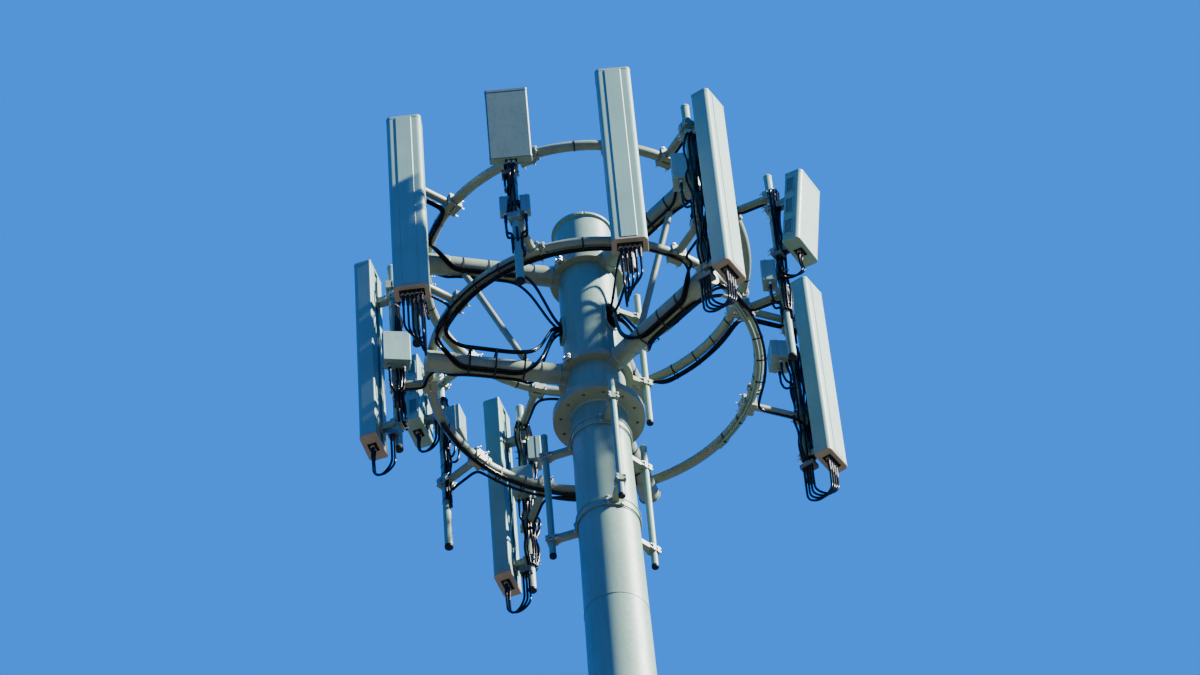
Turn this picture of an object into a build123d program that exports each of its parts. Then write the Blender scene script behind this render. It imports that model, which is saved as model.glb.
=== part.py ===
"""Steel monopole cell tower, 30 m tall: tapered pole, two-ring headframe and nine panel antennas.

Millimetres. The origin is the centre of the base plate's underside and +Z is up. Azimuths are
degrees from +X, counter-clockwise seen from above.
"""
import os
from collections import namedtuple
from math import cos, hypot, pi, radians, sin, tan

from build123d import *

# Clearance where one curved face seats on another
SEAT_GAP = 0.3

# Pole
POLE_TOP = 27625
POLE_HEAD_DIAMETER = 430
POLE_TAPER = 0.0098  # growth of the radius for each unit of height, going down
HEAD_WALL = 8
UPPER_WALL = 8
MIDDLE_WALL = 8
LOWER_WALL = 10
HEAD_SEAM_HEIGHT = 25530
UPPER_SECTION_BOTTOM = 17000
MIDDLE_SECTION_BOTTOM = 8600
SLIP_LAP = 1300
WELD_WIDTH = 12
WELD_PROUD = 3

# Base plate
BASE_THICKNESS = 50
BASE_BOLT_OFFSET = 110  # from the pole's wall to the bolt circle
BASE_BOLT_COUNT = 16
BASE_BOLT_HOLE = 48
BASE_EDGE = 80  # from the bolt circle to the plate's rim
STIFFENER_THICKNESS = 16
STIFFENER_HEIGHT = 300
STIFFENER_WIDTH = 150
STIFFENER_TIP = 40

# Access opening near the ground
ACCESS_AZIMUTH = 250
ACCESS_HEIGHT = 1250
ACCESS_WIDTH = 240
ACCESS_LENGTH = 560
ACCESS_RIM = 22
ACCESS_PROUD = 30
ACCESS_INSET = 60
ACCESS_COVER_THICKNESS = 6

# Flange pair at the pole's head
FLANGE_DIAMETER = 694
FLANGE_THICKNESS = 35
FLANGE_BOLT_CIRCLE = 577
FLANGE_BOLT_COUNT = 12
FLANGE_BOLT_START = 10
FLANGE_BOLT_DIAMETER = 24
FLANGE_BOLT_HEAD = 36
FLANGE_BOLT_HEAD_HEIGHT = 15
FLANGE_BOLT_RECESS = 20  # how far the bolt's end stops short of the lower plate's underside

# Headframe stub and cap
STUB_DIAMETER = 448
STUB_WALL = 10
STUB_LENGTH = 2095
PORT_RISE = 400  # from the lower ring to the cable port's middle
PORT_WIDTH = 110
PORT_LENGTH = 260
PORT_RIM = 12
PORT_PROUD = 14
CAP_DIAMETER = 486
CAP_THICKNESS = 25
CAP_NOTCH_AZIMUTH = 276
CAP_NOTCH = 14

# Rings
RING_RADIUS = 1250
RING_TUBE_DIAMETER = 78
RING_TUBE_WALL = 6
LOWER_RING_RISE = 560  # above the joint of the flange pair
RING_SPACING = 1150
RING_JOINT_START = 16.3
RING_JOINT_DIAMETER = 116
RING_JOINT_THICKNESS = 12
RING_JOINT_GAP = 2

# Collars, arms and braces
SECTOR_COUNT = 3
FIRST_ARM_AZIMUTH = 195
COLLAR_DIAMETER = 570
COLLAR_HEIGHT = 60
COLLAR_EAR_AZIMUTH = 230
COLLAR_EAR_WIDTH = 42
COLLAR_EAR_THICKNESS = 14
COLLAR_EAR_GAP = 10
ARM_DIAMETER = 150
ARM_WALL = 8
SLEEVE_DIAMETER = 162
SLEEVE_LENGTH = 200
SOCKET_REACH = 420  # from the tower's axis to the end of a collar's socket
ARM_REACH = 1290
ARM_CAP_DIAMETER = 174
ARM_CAP_THICKNESS = 12
SADDLE_DEPTH = 8  # how far the ring sinks into the top of an arm's sleeve
BRACE_DIAMETER = 50
BRACE_OUTER_REACH = 1000
BRACE_INNER_REACH = 480

# Antenna mounts
PIPE_DIAMETER = 63
PIPE_WALL = 4
PIPE_TAIL = 720  # below the lower ring
PIPE_HEAD = 240  # above the upper ring
STAND_OFF_DIAMETER = 60
RING_JAW = (104, 116, 104)
PIPE_JAW = (92, 96, 84)
JAW_SPLIT = 14

# Panel antennas
PANEL_STAND_OFF = 200  # from the pipe's axis to the panel's middle
PANEL_SIZES = {"large": (140, 265, 2030), "small": (140, 315, 760), "thin": (70, 315, 690)}
PANEL_FRONT_CORNER = {"large": 34, "small": 34, "thin": 12}
PANEL_BACK_CORNER = 10
PANEL_GROOVE_WIDTH = 7
PANEL_GROOVE_DEPTH = 7
PANEL_GROOVE_SHARE = 0.21  # of the width, each side of the middle
PANEL_SLOT_WIDTH = 70
PANEL_SLOT_DEPTH = 14
PANEL_CAP_THICKNESS = 26
PANEL_CAP_PROUD = 2
PANEL_CAP_CHAMFER = 5
PANEL_WELL_SHARE = 0.52  # of the thickness
PANEL_WELL_DEPTH = 15
CONNECTOR_DIAMETER = 26
CONNECTOR_LENGTH = 34
CONNECTOR_PITCH = 34
BRACKET_END_OFFSET = {"large": 180, "small": 120, "thin": 120}  # from the panel's end to a bracket
BRACKET_CLEARANCE = 130
BRACKET_JAW = (84, 88, 70)
BRACKET_PLATE = (8, 130, 96)
CHEEK_THICKNESS = 8
CHEEK_SPACING = 54
CHEEK_HEIGHT = 58

# Boxes on the pipes
RADIO_JAW_WIDTH = 76
RADIO_JAW_HEIGHT = 50
RADIO_CORNER = 8
RADIO_FACE_CHAMFER = 5
RADIO_RIM_THICKNESS = 8
RADIO_RIM_PROUD = 4
RADIO_RIM_SHARE = 0.18  # of the depth, from the housing's middle to its rim

# Jumper cables
JUMPER_DIAMETER = 18
JUMPER_DRIFT = 0.017  # of its leg's length: how far a jumper's leg bows
JUMPER_END_GAP = 0.6
JUMPER_NEST = 28  # how much lower each loop hangs than its neighbour
CABLE_BLOCK_HEIGHT = 40
CABLE_BLOCK_PITCH = 24
CABLE_BLOCK_SIDE = 62  # from the pipe's axis out to the row of jumpers beside it
CABLE_BLOCK_SHIFT = 26  # of the row's middle, from the pipe's axis towards the panel
CABLE_BLOCK_RISE = 8  # from the bottom of the panel to the underside of the block
RING_CABLE_DIAMETER = 18
RING_CABLE_LANES = 2
RING_CABLE_SPAN = 88  # degrees round the ring from the arm
RING_CABLE_STEP = 9.5
RING_CABLE_TURN = 12  # degrees short of the arm, where the cables leave the ring

# Short stand-off pipes on the pole and on the stub
POLE_MOUNT_REACH = 440
POLE_MOUNT_DIAMETER = 50
POLE_MOUNT_LENGTH = 1300
POLE_MOUNT_START = 285
POLE_MOUNT_BAND_DROPS = (230, 1130)  # below the pole's top
POLE_BAND_HEIGHT = 50
POLE_BAND_THICKNESS = 6
POLE_MOUNT_JAW = (70, 74, 60)
POLE_MOUNT_PLATE = (10, 130, 90)
POLE_MOUNT_WEB = (50, 46)
STUB_MOUNT_AZIMUTH = 30.4
STUB_MOUNT_BOTTOM = -420  # from the lower ring
STUB_MOUNT_LENGTH = 1470
STUB_BRACKET_RISES = (20, 780)

# hand is the side of the pipe that the jumpers turn up on: 1 is left of the way it faces
Antenna = namedtuple("Antenna", "sector size azimuth reach facing tilt rise connectors loop hand")
ANTENNAS = (
    Antenna("front", "large", 219.0, 392, 268, 0, -380, 5, 450, 1),
    Antenna("front", "thin", 252.8, 358, 270, 10, 460, 2, 190, -1),
    Antenna("front", "large", 282.3, 334, 270, 0, -690, 5, 400, -1),
    Antenna("right", "large", 303.1, 339, 330, 0, -720, 4, 330, -1),
    Antenna("right", "small", 338.7, 323, 332, 8, 360, 2, 240, -1),
    Antenna("right", "large", 24.0, 446, 329, 0, -640, 4, 330, -1),
    Antenna("left", "large", 180.5, 257, 166, 0, -620, 2, 330, 1),
    Antenna("left", "small", 140.0, 350, 165, 0, 660, 2, 240, 1),
    Antenna("left", "large", 111.9, 433, 164, 0, -580, 3, 330, 1),
)

# antenna is the number of the mount it hangs on; side is the azimuth from the pipe to the box, and
# grip is the depth of the clamp that holds it off the pipe
Radio = namedtuple("Radio", "antenna side rise grip size")
RADIOS = (
    Radio(2, 180, 140, 76, (76, 80, 190)),
    Radio(2, 0, 140, 76, (76, 80, 190)),
    Radio(3, 0, 330, 76, (90, 130, 280)),
    Radio(4, 180, 620, 76, (120, 150, 300)),
    Radio(5, 180, 230, 76, (110, 130, 240)),
    Radio(6, 190, 710, 76, (150, 190, 200)),
    Radio(7, 280, 300, 76, (110, 220, 340)),
    Radio(8, 345, 630, 100, (120, 170, 300)),
    Radio(9, 0, 835, 76, (110, 150, 270)),
    Radio(9, 262, 400, 76, (110, 170, 300)),
)

flange_joint = POLE_TOP + FLANGE_THICKNESS
stub_bottom = flange_joint + FLANGE_THICKNESS
stub_top = stub_bottom + STUB_LENGTH
stub_radius = STUB_DIAMETER / 2
lower_ring_height = flange_joint + LOWER_RING_RISE
upper_ring_height = lower_ring_height + RING_SPACING
ring_tube_radius = RING_TUBE_DIAMETER / 2
arm_drop = ring_tube_radius + SLEEVE_DIAMETER / 2 - SADDLE_DEPTH
arm_azimuths = [FIRST_ARM_AZIMUTH + 360 / SECTOR_COUNT * n for n in range(SECTOR_COUNT)]
pipe_radius = PIPE_DIAMETER / 2
pipe_bottom = lower_ring_height - PIPE_TAIL
pipe_top = upper_ring_height + PIPE_HEAD


def polar(radius, azimuth, height):
    """The point at this radius, azimuth and height."""
    return Vector(radius * cos(radians(azimuth)), radius * sin(radians(azimuth)), height)


def turned(outline):
    """A solid of revolution about the tower's axis, from (radius, height) points."""
    return revolve(make_face(Polyline([(r, 0, z) for r, z in outline], close=True)), Axis.Z)


def rod(start, end, diameter, wall=0):
    """A round bar, or a tube where a wall is given, from start to end."""
    along = Vector(end) - Vector(start)
    section = Circle(diameter / 2)
    if wall:
        section -= Circle(diameter / 2 - wall)
    return extrude(Plane(origin=start, z_dir=along) * section, along.length)


def block(frame, centre, size):
    """A box in a frame."""
    return frame * Pos(*centre) * Box(*size)


def frame_at(origin, azimuth, tilt=0):
    """A frame with X along the azimuth, Z up, and its top leaned forward by the tilt."""
    return Pos(*origin) * Rot(0, 0, azimuth) * Rot(0, tilt, 0)


def placed(frame, *point):
    """A point given in a frame, in the part's own coordinates."""
    return (frame * Pos(*point)).position


def joined(solids):
    """The solids fused into one."""
    first, *rest = solids
    return first.fuse(*rest).clean() if rest else first


def head_outer_radius(height):
    return POLE_HEAD_DIAMETER / 2 + POLE_TAPER * (POLE_TOP - height)


def middle_outer_radius(height):
    return head_outer_radius(height) - UPPER_WALL - SEAT_GAP


def lower_outer_radius(height):
    return middle_outer_radius(height) - MIDDLE_WALL - SEAT_GAP


def pole_section(outer_radius, bottom, top, wall):
    """A tapered tube whose outside follows outer_radius."""
    return turned(
        [
            (outer_radius(bottom), bottom),
            (outer_radius(top), top),
            (outer_radius(top) - wall, top),
            (outer_radius(bottom) - wall, bottom),
        ]
    )


def make_pole():
    """Four sections: three slip over each other and the head is welded on."""
    seam = turned(
        [
            (head_outer_radius(HEAD_SEAM_HEIGHT) - HEAD_WALL / 2, HEAD_SEAM_HEIGHT),
            (head_outer_radius(HEAD_SEAM_HEIGHT) + WELD_PROUD, HEAD_SEAM_HEIGHT),
            (head_outer_radius(HEAD_SEAM_HEIGHT) + WELD_PROUD, HEAD_SEAM_HEIGHT + WELD_WIDTH),
            (head_outer_radius(HEAD_SEAM_HEIGHT) - HEAD_WALL / 2, HEAD_SEAM_HEIGHT + WELD_WIDTH),
        ]
    )
    head = pole_section(head_outer_radius, HEAD_SEAM_HEIGHT, POLE_TOP, HEAD_WALL)
    lower = pole_section(
        lower_outer_radius, BASE_THICKNESS, MIDDLE_SECTION_BOTTOM + SLIP_LAP, LOWER_WALL
    )
    return {
        "pole_head_section": joined([head, seam]),
        "pole_upper_section": pole_section(
            head_outer_radius, UPPER_SECTION_BOTTOM, HEAD_SEAM_HEIGHT, UPPER_WALL
        ),
        "pole_middle_section": pole_section(
            middle_outer_radius, MIDDLE_SECTION_BOTTOM, UPPER_SECTION_BOTTOM + SLIP_LAP, MIDDLE_WALL
        ),
        "pole_lower_section": lower - access_block(SEAT_GAP),
    }


def make_base():
    """The base plate with its bolt circle, and a stiffener between each two bolts."""
    foot_radius = lower_outer_radius(BASE_THICKNESS)
    bolt_radius = foot_radius + BASE_BOLT_OFFSET
    plate = Cylinder(
        bolt_radius + BASE_EDGE, BASE_THICKNESS, align=(Align.CENTER, Align.CENTER, Align.MIN)
    )
    plate -= Cylinder(
        foot_radius - LOWER_WALL, BASE_THICKNESS, align=(Align.CENTER, Align.CENTER, Align.MIN)
    )
    step = 360 / BASE_BOLT_COUNT
    for n in range(BASE_BOLT_COUNT):
        hole = polar(bolt_radius, n * step, 0)
        plate -= rod(hole, hole + Vector(0, 0, BASE_THICKNESS), BASE_BOLT_HOLE)
    top = BASE_THICKNESS + STIFFENER_HEIGHT
    outline = Polyline(
        [
            (lower_outer_radius(BASE_THICKNESS) + SEAT_GAP, 0, BASE_THICKNESS),
            (foot_radius + STIFFENER_WIDTH, 0, BASE_THICKNESS),
            (foot_radius + STIFFENER_WIDTH, 0, BASE_THICKNESS + STIFFENER_TIP),
            (lower_outer_radius(top) + STIFFENER_TIP, 0, top),
            (lower_outer_radius(top) + SEAT_GAP, 0, top),
        ],
        close=True,
    )
    stiffener = extrude(make_face(outline), STIFFENER_THICKNESS / 2, both=True)
    stiffeners = [Rot(0, 0, (n + 0.5) * step) * stiffener for n in range(BASE_BOLT_COUNT)]
    return {"base_plate": plate, "base_stiffeners": Compound(children=stiffeners)}


def access_frame():
    return frame_at(
        polar(lower_outer_radius(ACCESS_HEIGHT), ACCESS_AZIMUTH, ACCESS_HEIGHT), ACCESS_AZIMUTH
    )


def access_block(margin):
    """The space that the access frame takes, from inside the wall to its outer face."""
    section = RectangleRounded(
        ACCESS_WIDTH + 2 * ACCESS_RIM + 2 * margin,
        ACCESS_LENGTH + 2 * ACCESS_RIM + 2 * margin,
        ACCESS_WIDTH / 2,
    )
    start = access_frame() * Pos(-ACCESS_INSET, 0, 0) * Rot(0, 90, 0) * Rot(0, 0, 90)
    return extrude(start * section, ACCESS_INSET + ACCESS_PROUD)


def make_access():
    """The rim of the access opening and the plate that closes it."""
    start = access_frame() * Pos(-ACCESS_INSET, 0, 0) * Rot(0, 90, 0) * Rot(0, 0, 90)
    opening = RectangleRounded(ACCESS_WIDTH, ACCESS_LENGTH, ACCESS_WIDTH / 2 - ACCESS_RIM)
    rim = access_block(0) - extrude(start * opening, ACCESS_INSET + ACCESS_PROUD)
    face = access_frame() * Pos(ACCESS_PROUD, 0, 0) * Rot(0, 90, 0) * Rot(0, 0, 90)
    plate = RectangleRounded(
        ACCESS_WIDTH + 2 * ACCESS_RIM, ACCESS_LENGTH + 2 * ACCESS_RIM, ACCESS_WIDTH / 2
    )
    return {"access_rim": rim, "access_cover": extrude(face * plate, ACCESS_COVER_THICKNESS)}


def flange_bolt_places():
    step = 360 / FLANGE_BOLT_COUNT
    return [
        polar(FLANGE_BOLT_CIRCLE / 2, FLANGE_BOLT_START + n * step, 0)
        for n in range(FLANGE_BOLT_COUNT)
    ]


def make_flanges():
    """The pole's flange, the headframe's flange on it, and the bolts down through both."""
    lower = turned(
        [
            (POLE_HEAD_DIAMETER / 2 - HEAD_WALL, POLE_TOP),
            (FLANGE_DIAMETER / 2, POLE_TOP),
            (FLANGE_DIAMETER / 2, flange_joint),
            (POLE_HEAD_DIAMETER / 2 - HEAD_WALL, flange_joint),
        ]
    )
    upper = turned(
        [
            (stub_radius - STUB_WALL, flange_joint),
            (FLANGE_DIAMETER / 2, flange_joint),
            (FLANGE_DIAMETER / 2, stub_bottom),
            (stub_radius - STUB_WALL, stub_bottom),
        ]
    )
    bolts = []
    for place in flange_bolt_places():
        bottom = place + Vector(0, 0, POLE_TOP)
        top = place + Vector(0, 0, stub_bottom)
        hole = rod(bottom, top, FLANGE_BOLT_DIAMETER + 2 * SEAT_GAP)
        lower -= hole
        upper -= hole
        shank = rod(bottom + Vector(0, 0, FLANGE_BOLT_RECESS), top, FLANGE_BOLT_DIAMETER)
        head = Pos(*top) * extrude(
            RegularPolygon(FLANGE_BOLT_HEAD / 2, 6, major_radius=False), FLANGE_BOLT_HEAD_HEIGHT
        )
        bolts.append(joined([shank, head]))
    return {
        "pole_head_flange": lower,
        "headframe_flange": upper,
        "flange_bolts": Compound(children=bolts),
    }


def port_outline(azimuth, margin, outer):
    """A bar with the outline of a cable port, from inside the stub's wall out to a radius."""
    height = lower_ring_height + PORT_RISE
    start = frame_at(polar(stub_radius / 2, azimuth, height), azimuth) * Rot(0, 90, 0) * Rot(0, 0, 90)
    section = SlotOverall(PORT_LENGTH + 2 * margin, PORT_WIDTH + 2 * margin, rotation=90)
    return extrude(start * section, outer - stub_radius / 2)


def make_stub():
    """The headframe's tube with a rimmed cable port over each lower arm, and its cap."""
    tube = turned(
        [
            (stub_radius - STUB_WALL, stub_bottom),
            (stub_radius, stub_bottom),
            (stub_radius, stub_top),
            (stub_radius - STUB_WALL, stub_top),
        ]
    )
    bore = rod((0, 0, stub_bottom), (0, 0, stub_top), STUB_DIAMETER - 2 * STUB_WALL)
    rims = [port_outline(a, PORT_RIM, stub_radius + PORT_PROUD) - bore for a in arm_azimuths]
    tube = joined([tube, *rims])
    for azimuth in arm_azimuths:
        tube -= port_outline(azimuth, 0, stub_radius + 2 * PORT_PROUD)
    cap = Pos(0, 0, stub_top) * Cylinder(
        CAP_DIAMETER / 2, CAP_THICKNESS, align=(Align.CENTER, Align.CENTER, Align.MIN)
    )
    cap = chamfer(cap.faces().sort_by(Axis.Z)[-1].edges(), CAP_THICKNESS / 5)
    notch = Rot(0, 0, CAP_NOTCH_AZIMUTH) * Pos(CAP_DIAMETER / 2, 0, stub_top + CAP_THICKNESS / 2)
    cap -= notch * Rot(0, 0, 45) * Box(CAP_NOTCH, CAP_NOTCH, 2 * CAP_THICKNESS)
    return {"headframe_stub": tube, "top_cap": cap}


def make_collar(ring_height):
    """The collar round the stub, with a socket for each arm and a pair of bolted ears."""
    height = ring_height - arm_drop
    solids = [Pos(0, 0, height) * Cylinder(COLLAR_DIAMETER / 2, COLLAR_HEIGHT)]
    for azimuth in arm_azimuths:
        root = polar(stub_radius / 2, azimuth, height)
        solids.append(rod(root, polar(SOCKET_REACH, azimuth, height), SLEEVE_DIAMETER))
    ear_offset = (COLLAR_EAR_GAP + COLLAR_EAR_THICKNESS) / 2
    ears = frame_at(polar(COLLAR_DIAMETER / 2, COLLAR_EAR_AZIMUTH, height), COLLAR_EAR_AZIMUTH)
    for side in (-1, 1):
        size = (COLLAR_EAR_WIDTH, COLLAR_EAR_THICKNESS, COLLAR_HEIGHT)
        solids.append(block(ears, (0, side * ear_offset, 0), size))
    bore = Pos(0, 0, height) * Cylinder(stub_radius + SEAT_GAP, 2 * SLEEVE_DIAMETER)
    return joined(solids) - bore


def ring_core(ring_height, margin):
    """The space that a ring takes, with a margin round its tube."""
    return Pos(0, 0, ring_height) * Torus(RING_RADIUS, ring_tube_radius + margin)


def make_arm(azimuth, ring_height):
    """One arm: a tube from its socket out to a sleeved, capped end that carries the ring."""
    height = ring_height - arm_drop
    end = polar(ARM_REACH, azimuth, height)
    tube = rod(polar(SOCKET_REACH, azimuth, height), end, ARM_DIAMETER, ARM_WALL)
    sleeve_wall = (SLEEVE_DIAMETER - ARM_DIAMETER) / 2 + ARM_WALL / 2
    sleeve_start = polar(ARM_REACH - SLEEVE_LENGTH, azimuth, height)
    sleeve = rod(sleeve_start, end, SLEEVE_DIAMETER, sleeve_wall)
    cap = rod(end, polar(ARM_REACH + ARM_CAP_THICKNESS, azimuth, height), ARM_CAP_DIAMETER)
    return joined([tube, sleeve, cap]) - ring_core(ring_height, SEAT_GAP)


def make_brace(azimuth):
    """The diagonal from under the upper arm's outer end to the top of the lower arm's root."""
    lower = lower_ring_height - arm_drop
    upper = upper_ring_height - arm_drop
    foot = polar(BRACE_INNER_REACH, azimuth, lower)
    head = polar(BRACE_OUTER_REACH, azimuth, upper)
    brace = rod(foot, head, BRACE_DIAMETER)
    for height in (lower, upper):
        start = polar(0, azimuth, height)
        brace -= rod(start, polar(ARM_REACH, azimuth, height), ARM_DIAMETER + 2 * SEAT_GAP)
    return brace


def make_ring(ring_height):
    """A round tube ring, made of three lengths bolted through flange pairs."""
    outer = ring_core(ring_height, 0)
    discs = []
    half_pitch = (RING_JOINT_GAP + RING_JOINT_THICKNESS) / 2
    for n in range(SECTOR_COUNT):
        azimuth = RING_JOINT_START + 360 / SECTOR_COUNT * n
        frame = frame_at(polar(RING_RADIUS, azimuth, ring_height), azimuth)
        for side in (-1, 1):
            disc = Cylinder(RING_JOINT_DIAMETER / 2, RING_JOINT_THICKNESS, rotation=(90, 0, 0))
            discs.append(frame * Pos(0, side * half_pitch, 0) * disc)
    return joined([outer, *discs]) - ring_core(ring_height, -RING_TUBE_WALL)


def make_headframe():
    nodes = {
        "lower_collar": make_collar(lower_ring_height),
        "upper_collar": make_collar(upper_ring_height),
        "lower_arms": Compound(children=[make_arm(a, lower_ring_height) for a in arm_azimuths]),
        "upper_arms": Compound(children=[make_arm(a, upper_ring_height) for a in arm_azimuths]),
        "arm_braces": Compound(children=[make_brace(a) for a in arm_azimuths]),
        "lower_ring": make_ring(lower_ring_height),
        "upper_ring": make_ring(upper_ring_height),
    }
    return nodes


def jaw_pair(frame, size, cutter):
    """A clamp's inner and outer jaws, split across the frame's X and cut to seat on what they hold."""
    depth, width, height = size
    thickness = (depth - JAW_SPLIT) / 2
    middle = (JAW_SPLIT + thickness) / 2
    inner = block(frame, (-middle, 0, 0), (thickness, width, height)) - cutter
    outer = block(frame, (middle, 0, 0), (thickness, width, height)) - cutter
    return inner, outer


def pipe_point(antenna, height):
    return polar(RING_RADIUS + antenna.reach, antenna.azimuth, height)


def pipe_core(antenna, height, length):
    """The space that a mount pipe takes, with the seating clearance."""
    half = Vector(0, 0, length)
    centre = pipe_point(antenna, height)
    return rod(centre - half, centre + half, PIPE_DIAMETER + 2 * SEAT_GAP)


def make_stand_off(antenna, ring_height):
    """The arm from a ring to a mount pipe, with its split clamps: three solids."""
    ring_frame = frame_at(polar(RING_RADIUS, antenna.azimuth, ring_height), antenna.azimuth)
    pipe_frame = frame_at(pipe_point(antenna, ring_height), antenna.azimuth)
    back_jaw, front_jaw = jaw_pair(ring_frame, RING_JAW, ring_core(ring_height, SEAT_GAP))
    near_jaw, far_jaw = jaw_pair(pipe_frame, PIPE_JAW, pipe_core(antenna, ring_height, PIPE_JAW[2]))
    start = polar(RING_RADIUS + RING_JAW[0] / 2, antenna.azimuth, ring_height)
    end = polar(RING_RADIUS + antenna.reach - PIPE_JAW[0] / 2, antenna.azimuth, ring_height)
    return [back_jaw, joined([front_jaw, rod(start, end, STAND_OFF_DIAMETER), near_jaw]), far_jaw]


def clear_of_stand_offs(height):
    """A bracket height moved down where it would meet a stand-off's clamp."""
    for ring_height in (lower_ring_height, upper_ring_height):
        if abs(height - ring_height) < BRACKET_CLEARANCE:
            return ring_height - BRACKET_CLEARANCE
    return height


def bracket_heights(antenna):
    bottom = lower_ring_height + antenna.rise
    length = PANEL_SIZES[antenna.size][2]
    inset = BRACKET_END_OFFSET[antenna.size]
    upper = min(bottom + length - inset, pipe_top - BRACKET_JAW[2])
    return clear_of_stand_offs(bottom + inset), clear_of_stand_offs(upper)


def panel_frame(antenna):
    """The panel's frame: X out of its front, Z along it, its origin at the lower bracket's level."""
    pipe = frame_at(pipe_point(antenna, bracket_heights(antenna)[0]), antenna.facing)
    return pipe * Pos(PANEL_STAND_OFF, 0, 0) * Rot(0, antenna.tilt, 0)


def panel_bottom_frame(antenna):
    """The panel's frame moved to its bottom."""
    bottom = lower_ring_height + antenna.rise - bracket_heights(antenna)[0]
    return panel_frame(antenna) * Pos(0, 0, bottom)


def make_panel(antenna):
    """The radome with its grooves and back slot, its two end caps and the connectors in their well."""
    thickness, width, length = PANEL_SIZES[antenna.size]
    frame = panel_bottom_frame(antenna)
    section = Rectangle(thickness, width)
    section = fillet(section.vertices().group_by(Axis.X)[-1], PANEL_FRONT_CORNER[antenna.size])
    section = fillet(section.vertices().group_by(Axis.X)[0], PANEL_BACK_CORNER)
    outline = section
    if antenna.size == "large":
        for side in (-1, 1):
            groove = Rectangle(2 * PANEL_GROOVE_DEPTH, PANEL_GROOVE_WIDTH)
            section -= Pos(thickness / 2, side * PANEL_GROOVE_SHARE * width) * groove
    section -= Pos(-thickness / 2, 0) * Rectangle(2 * PANEL_SLOT_DEPTH, PANEL_SLOT_WIDTH)
    radome = extrude(frame * Pos(0, 0, PANEL_CAP_THICKNESS) * section, length - 2 * PANEL_CAP_THICKNESS)
    cap = extrude(offset(outline, PANEL_CAP_PROUD), PANEL_CAP_THICKNESS)
    bottom_cap = chamfer(cap.faces().sort_by(Axis.Z)[0].edges(), PANEL_CAP_CHAMFER)
    top_cap = chamfer(cap.faces().sort_by(Axis.Z)[-1].edges(), PANEL_CAP_CHAMFER)
    well_width = (antenna.connectors + 0.6) * CONNECTOR_PITCH
    well_breadth = thickness * PANEL_WELL_SHARE
    bottom_cap -= Pos(0, 0, PANEL_WELL_DEPTH / 2) * Box(well_breadth, well_width, PANEL_WELL_DEPTH)
    solids = [radome, frame * bottom_cap, frame * Pos(0, 0, length - PANEL_CAP_THICKNESS) * top_cap]
    for place in connector_places(antenna):
        end = placed(frame, 0, place, -CONNECTOR_LENGTH)
        solids.append(rod(placed(frame, 0, place, PANEL_WELL_DEPTH), end, CONNECTOR_DIAMETER))
    return joined(solids)


def connector_places(antenna):
    """Where the connectors stand across the panel's bottom."""
    half = (antenna.connectors - 1) / 2
    return [(n - half) * CONNECTOR_PITCH for n in range(antenna.connectors)]


def make_panel_brackets(antenna):
    """Two brackets, each a split clamp on the pipe, two cheeks and a plate on the panel's back."""
    solids = []
    panel = panel_frame(antenna)
    thickness = PANEL_SIZES[antenna.size][0]
    low = bracket_heights(antenna)[0]
    for height in bracket_heights(antenna):
        frame = frame_at(pipe_point(antenna, height), antenna.facing)
        back_jaw, front_jaw = jaw_pair(frame, BRACKET_JAW, pipe_core(antenna, height, BRACKET_JAW[2]))
        rise = (height - low) / cos(radians(antenna.tilt))
        plate = block(panel, (-(thickness + BRACKET_PLATE[0]) / 2, 0, rise), BRACKET_PLATE)
        start = BRACKET_JAW[0] / 2 - CHEEK_THICKNESS
        reach = PANEL_STAND_OFF - thickness / 2 + (height - low) * tan(radians(antenna.tilt))
        end = reach - BRACKET_PLATE[0] / 2
        cheeks = [
            block(
                frame,
                ((start + end) / 2, side * CHEEK_SPACING / 2, 0),
                (end - start, CHEEK_THICKNESS, CHEEK_HEIGHT),
            )
            for side in (-1, 1)
        ]
        solids += [back_jaw, joined([front_jaw, plate, *cheeks])]
    return solids


def make_radio(radio):
    """A cast housing with a bolting rim, its clamp on the pipe and two connectors: two solids."""
    antenna = ANTENNAS[radio.antenna - 1]
    height = lower_ring_height + radio.rise
    frame = frame_at(pipe_point(antenna, height), radio.side)
    jaw = (radio.grip, RADIO_JAW_WIDTH, RADIO_JAW_HEIGHT)
    back_jaw, front_jaw = jaw_pair(frame, jaw, pipe_core(antenna, height, RADIO_JAW_HEIGHT))
    depth, width, length = radio.size
    inset = RADIO_RIM_PROUD
    body = Box(depth, width - 2 * inset, length - 2 * inset)
    body = fillet(body.edges().filter_by(Axis.Z), RADIO_CORNER)
    body = chamfer(body.faces().sort_by(Axis.X)[-1].edges(), RADIO_FACE_CHAMFER)
    rim = Box(RADIO_RIM_THICKNESS, width, length)
    rim = fillet(rim.edges().filter_by(Axis.X), RADIO_CORNER)
    middle = frame * Pos((radio.grip + depth) / 2, 0, 0)
    solids = [front_jaw, middle * body, middle * Pos(depth * RADIO_RIM_SHARE, 0, 0) * rim]
    for side in (-1, 1):
        start = placed(middle, 0, side * width / 4, inset - length / 2)
        end = placed(middle, 0, side * width / 4, -length / 2 - CONNECTOR_LENGTH)
        solids.append(rod(start, end, CONNECTOR_DIAMETER))
    return [back_jaw, joined(solids)]


def cable_tube(points, diameter):
    """A cable along straight runs joined by tangent arcs, each as large as its two runs allow."""
    points = [Vector(*p) for p in points]
    radii = []
    for before, corner, after in zip(points, points[1:], points[2:]):
        first, second = corner - before, after - corner
        turn = radians(first.get_angle(second))
        radii.append(0.45 * min(first.length, second.length) / tan(turn / 2))
    path = FilletPolyline(points, radius=radii)
    tube = sweep(Plane(origin=path @ 0, z_dir=path % 0) * Circle(diameter / 2), path=path)
    share = tube.volume / (pi * diameter**2 / 4 * path.length)
    print(f"cable {path.length:.0f} long, tightest bend {min(radii):.0f}, volume {share:.4f}")
    return tube


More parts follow.
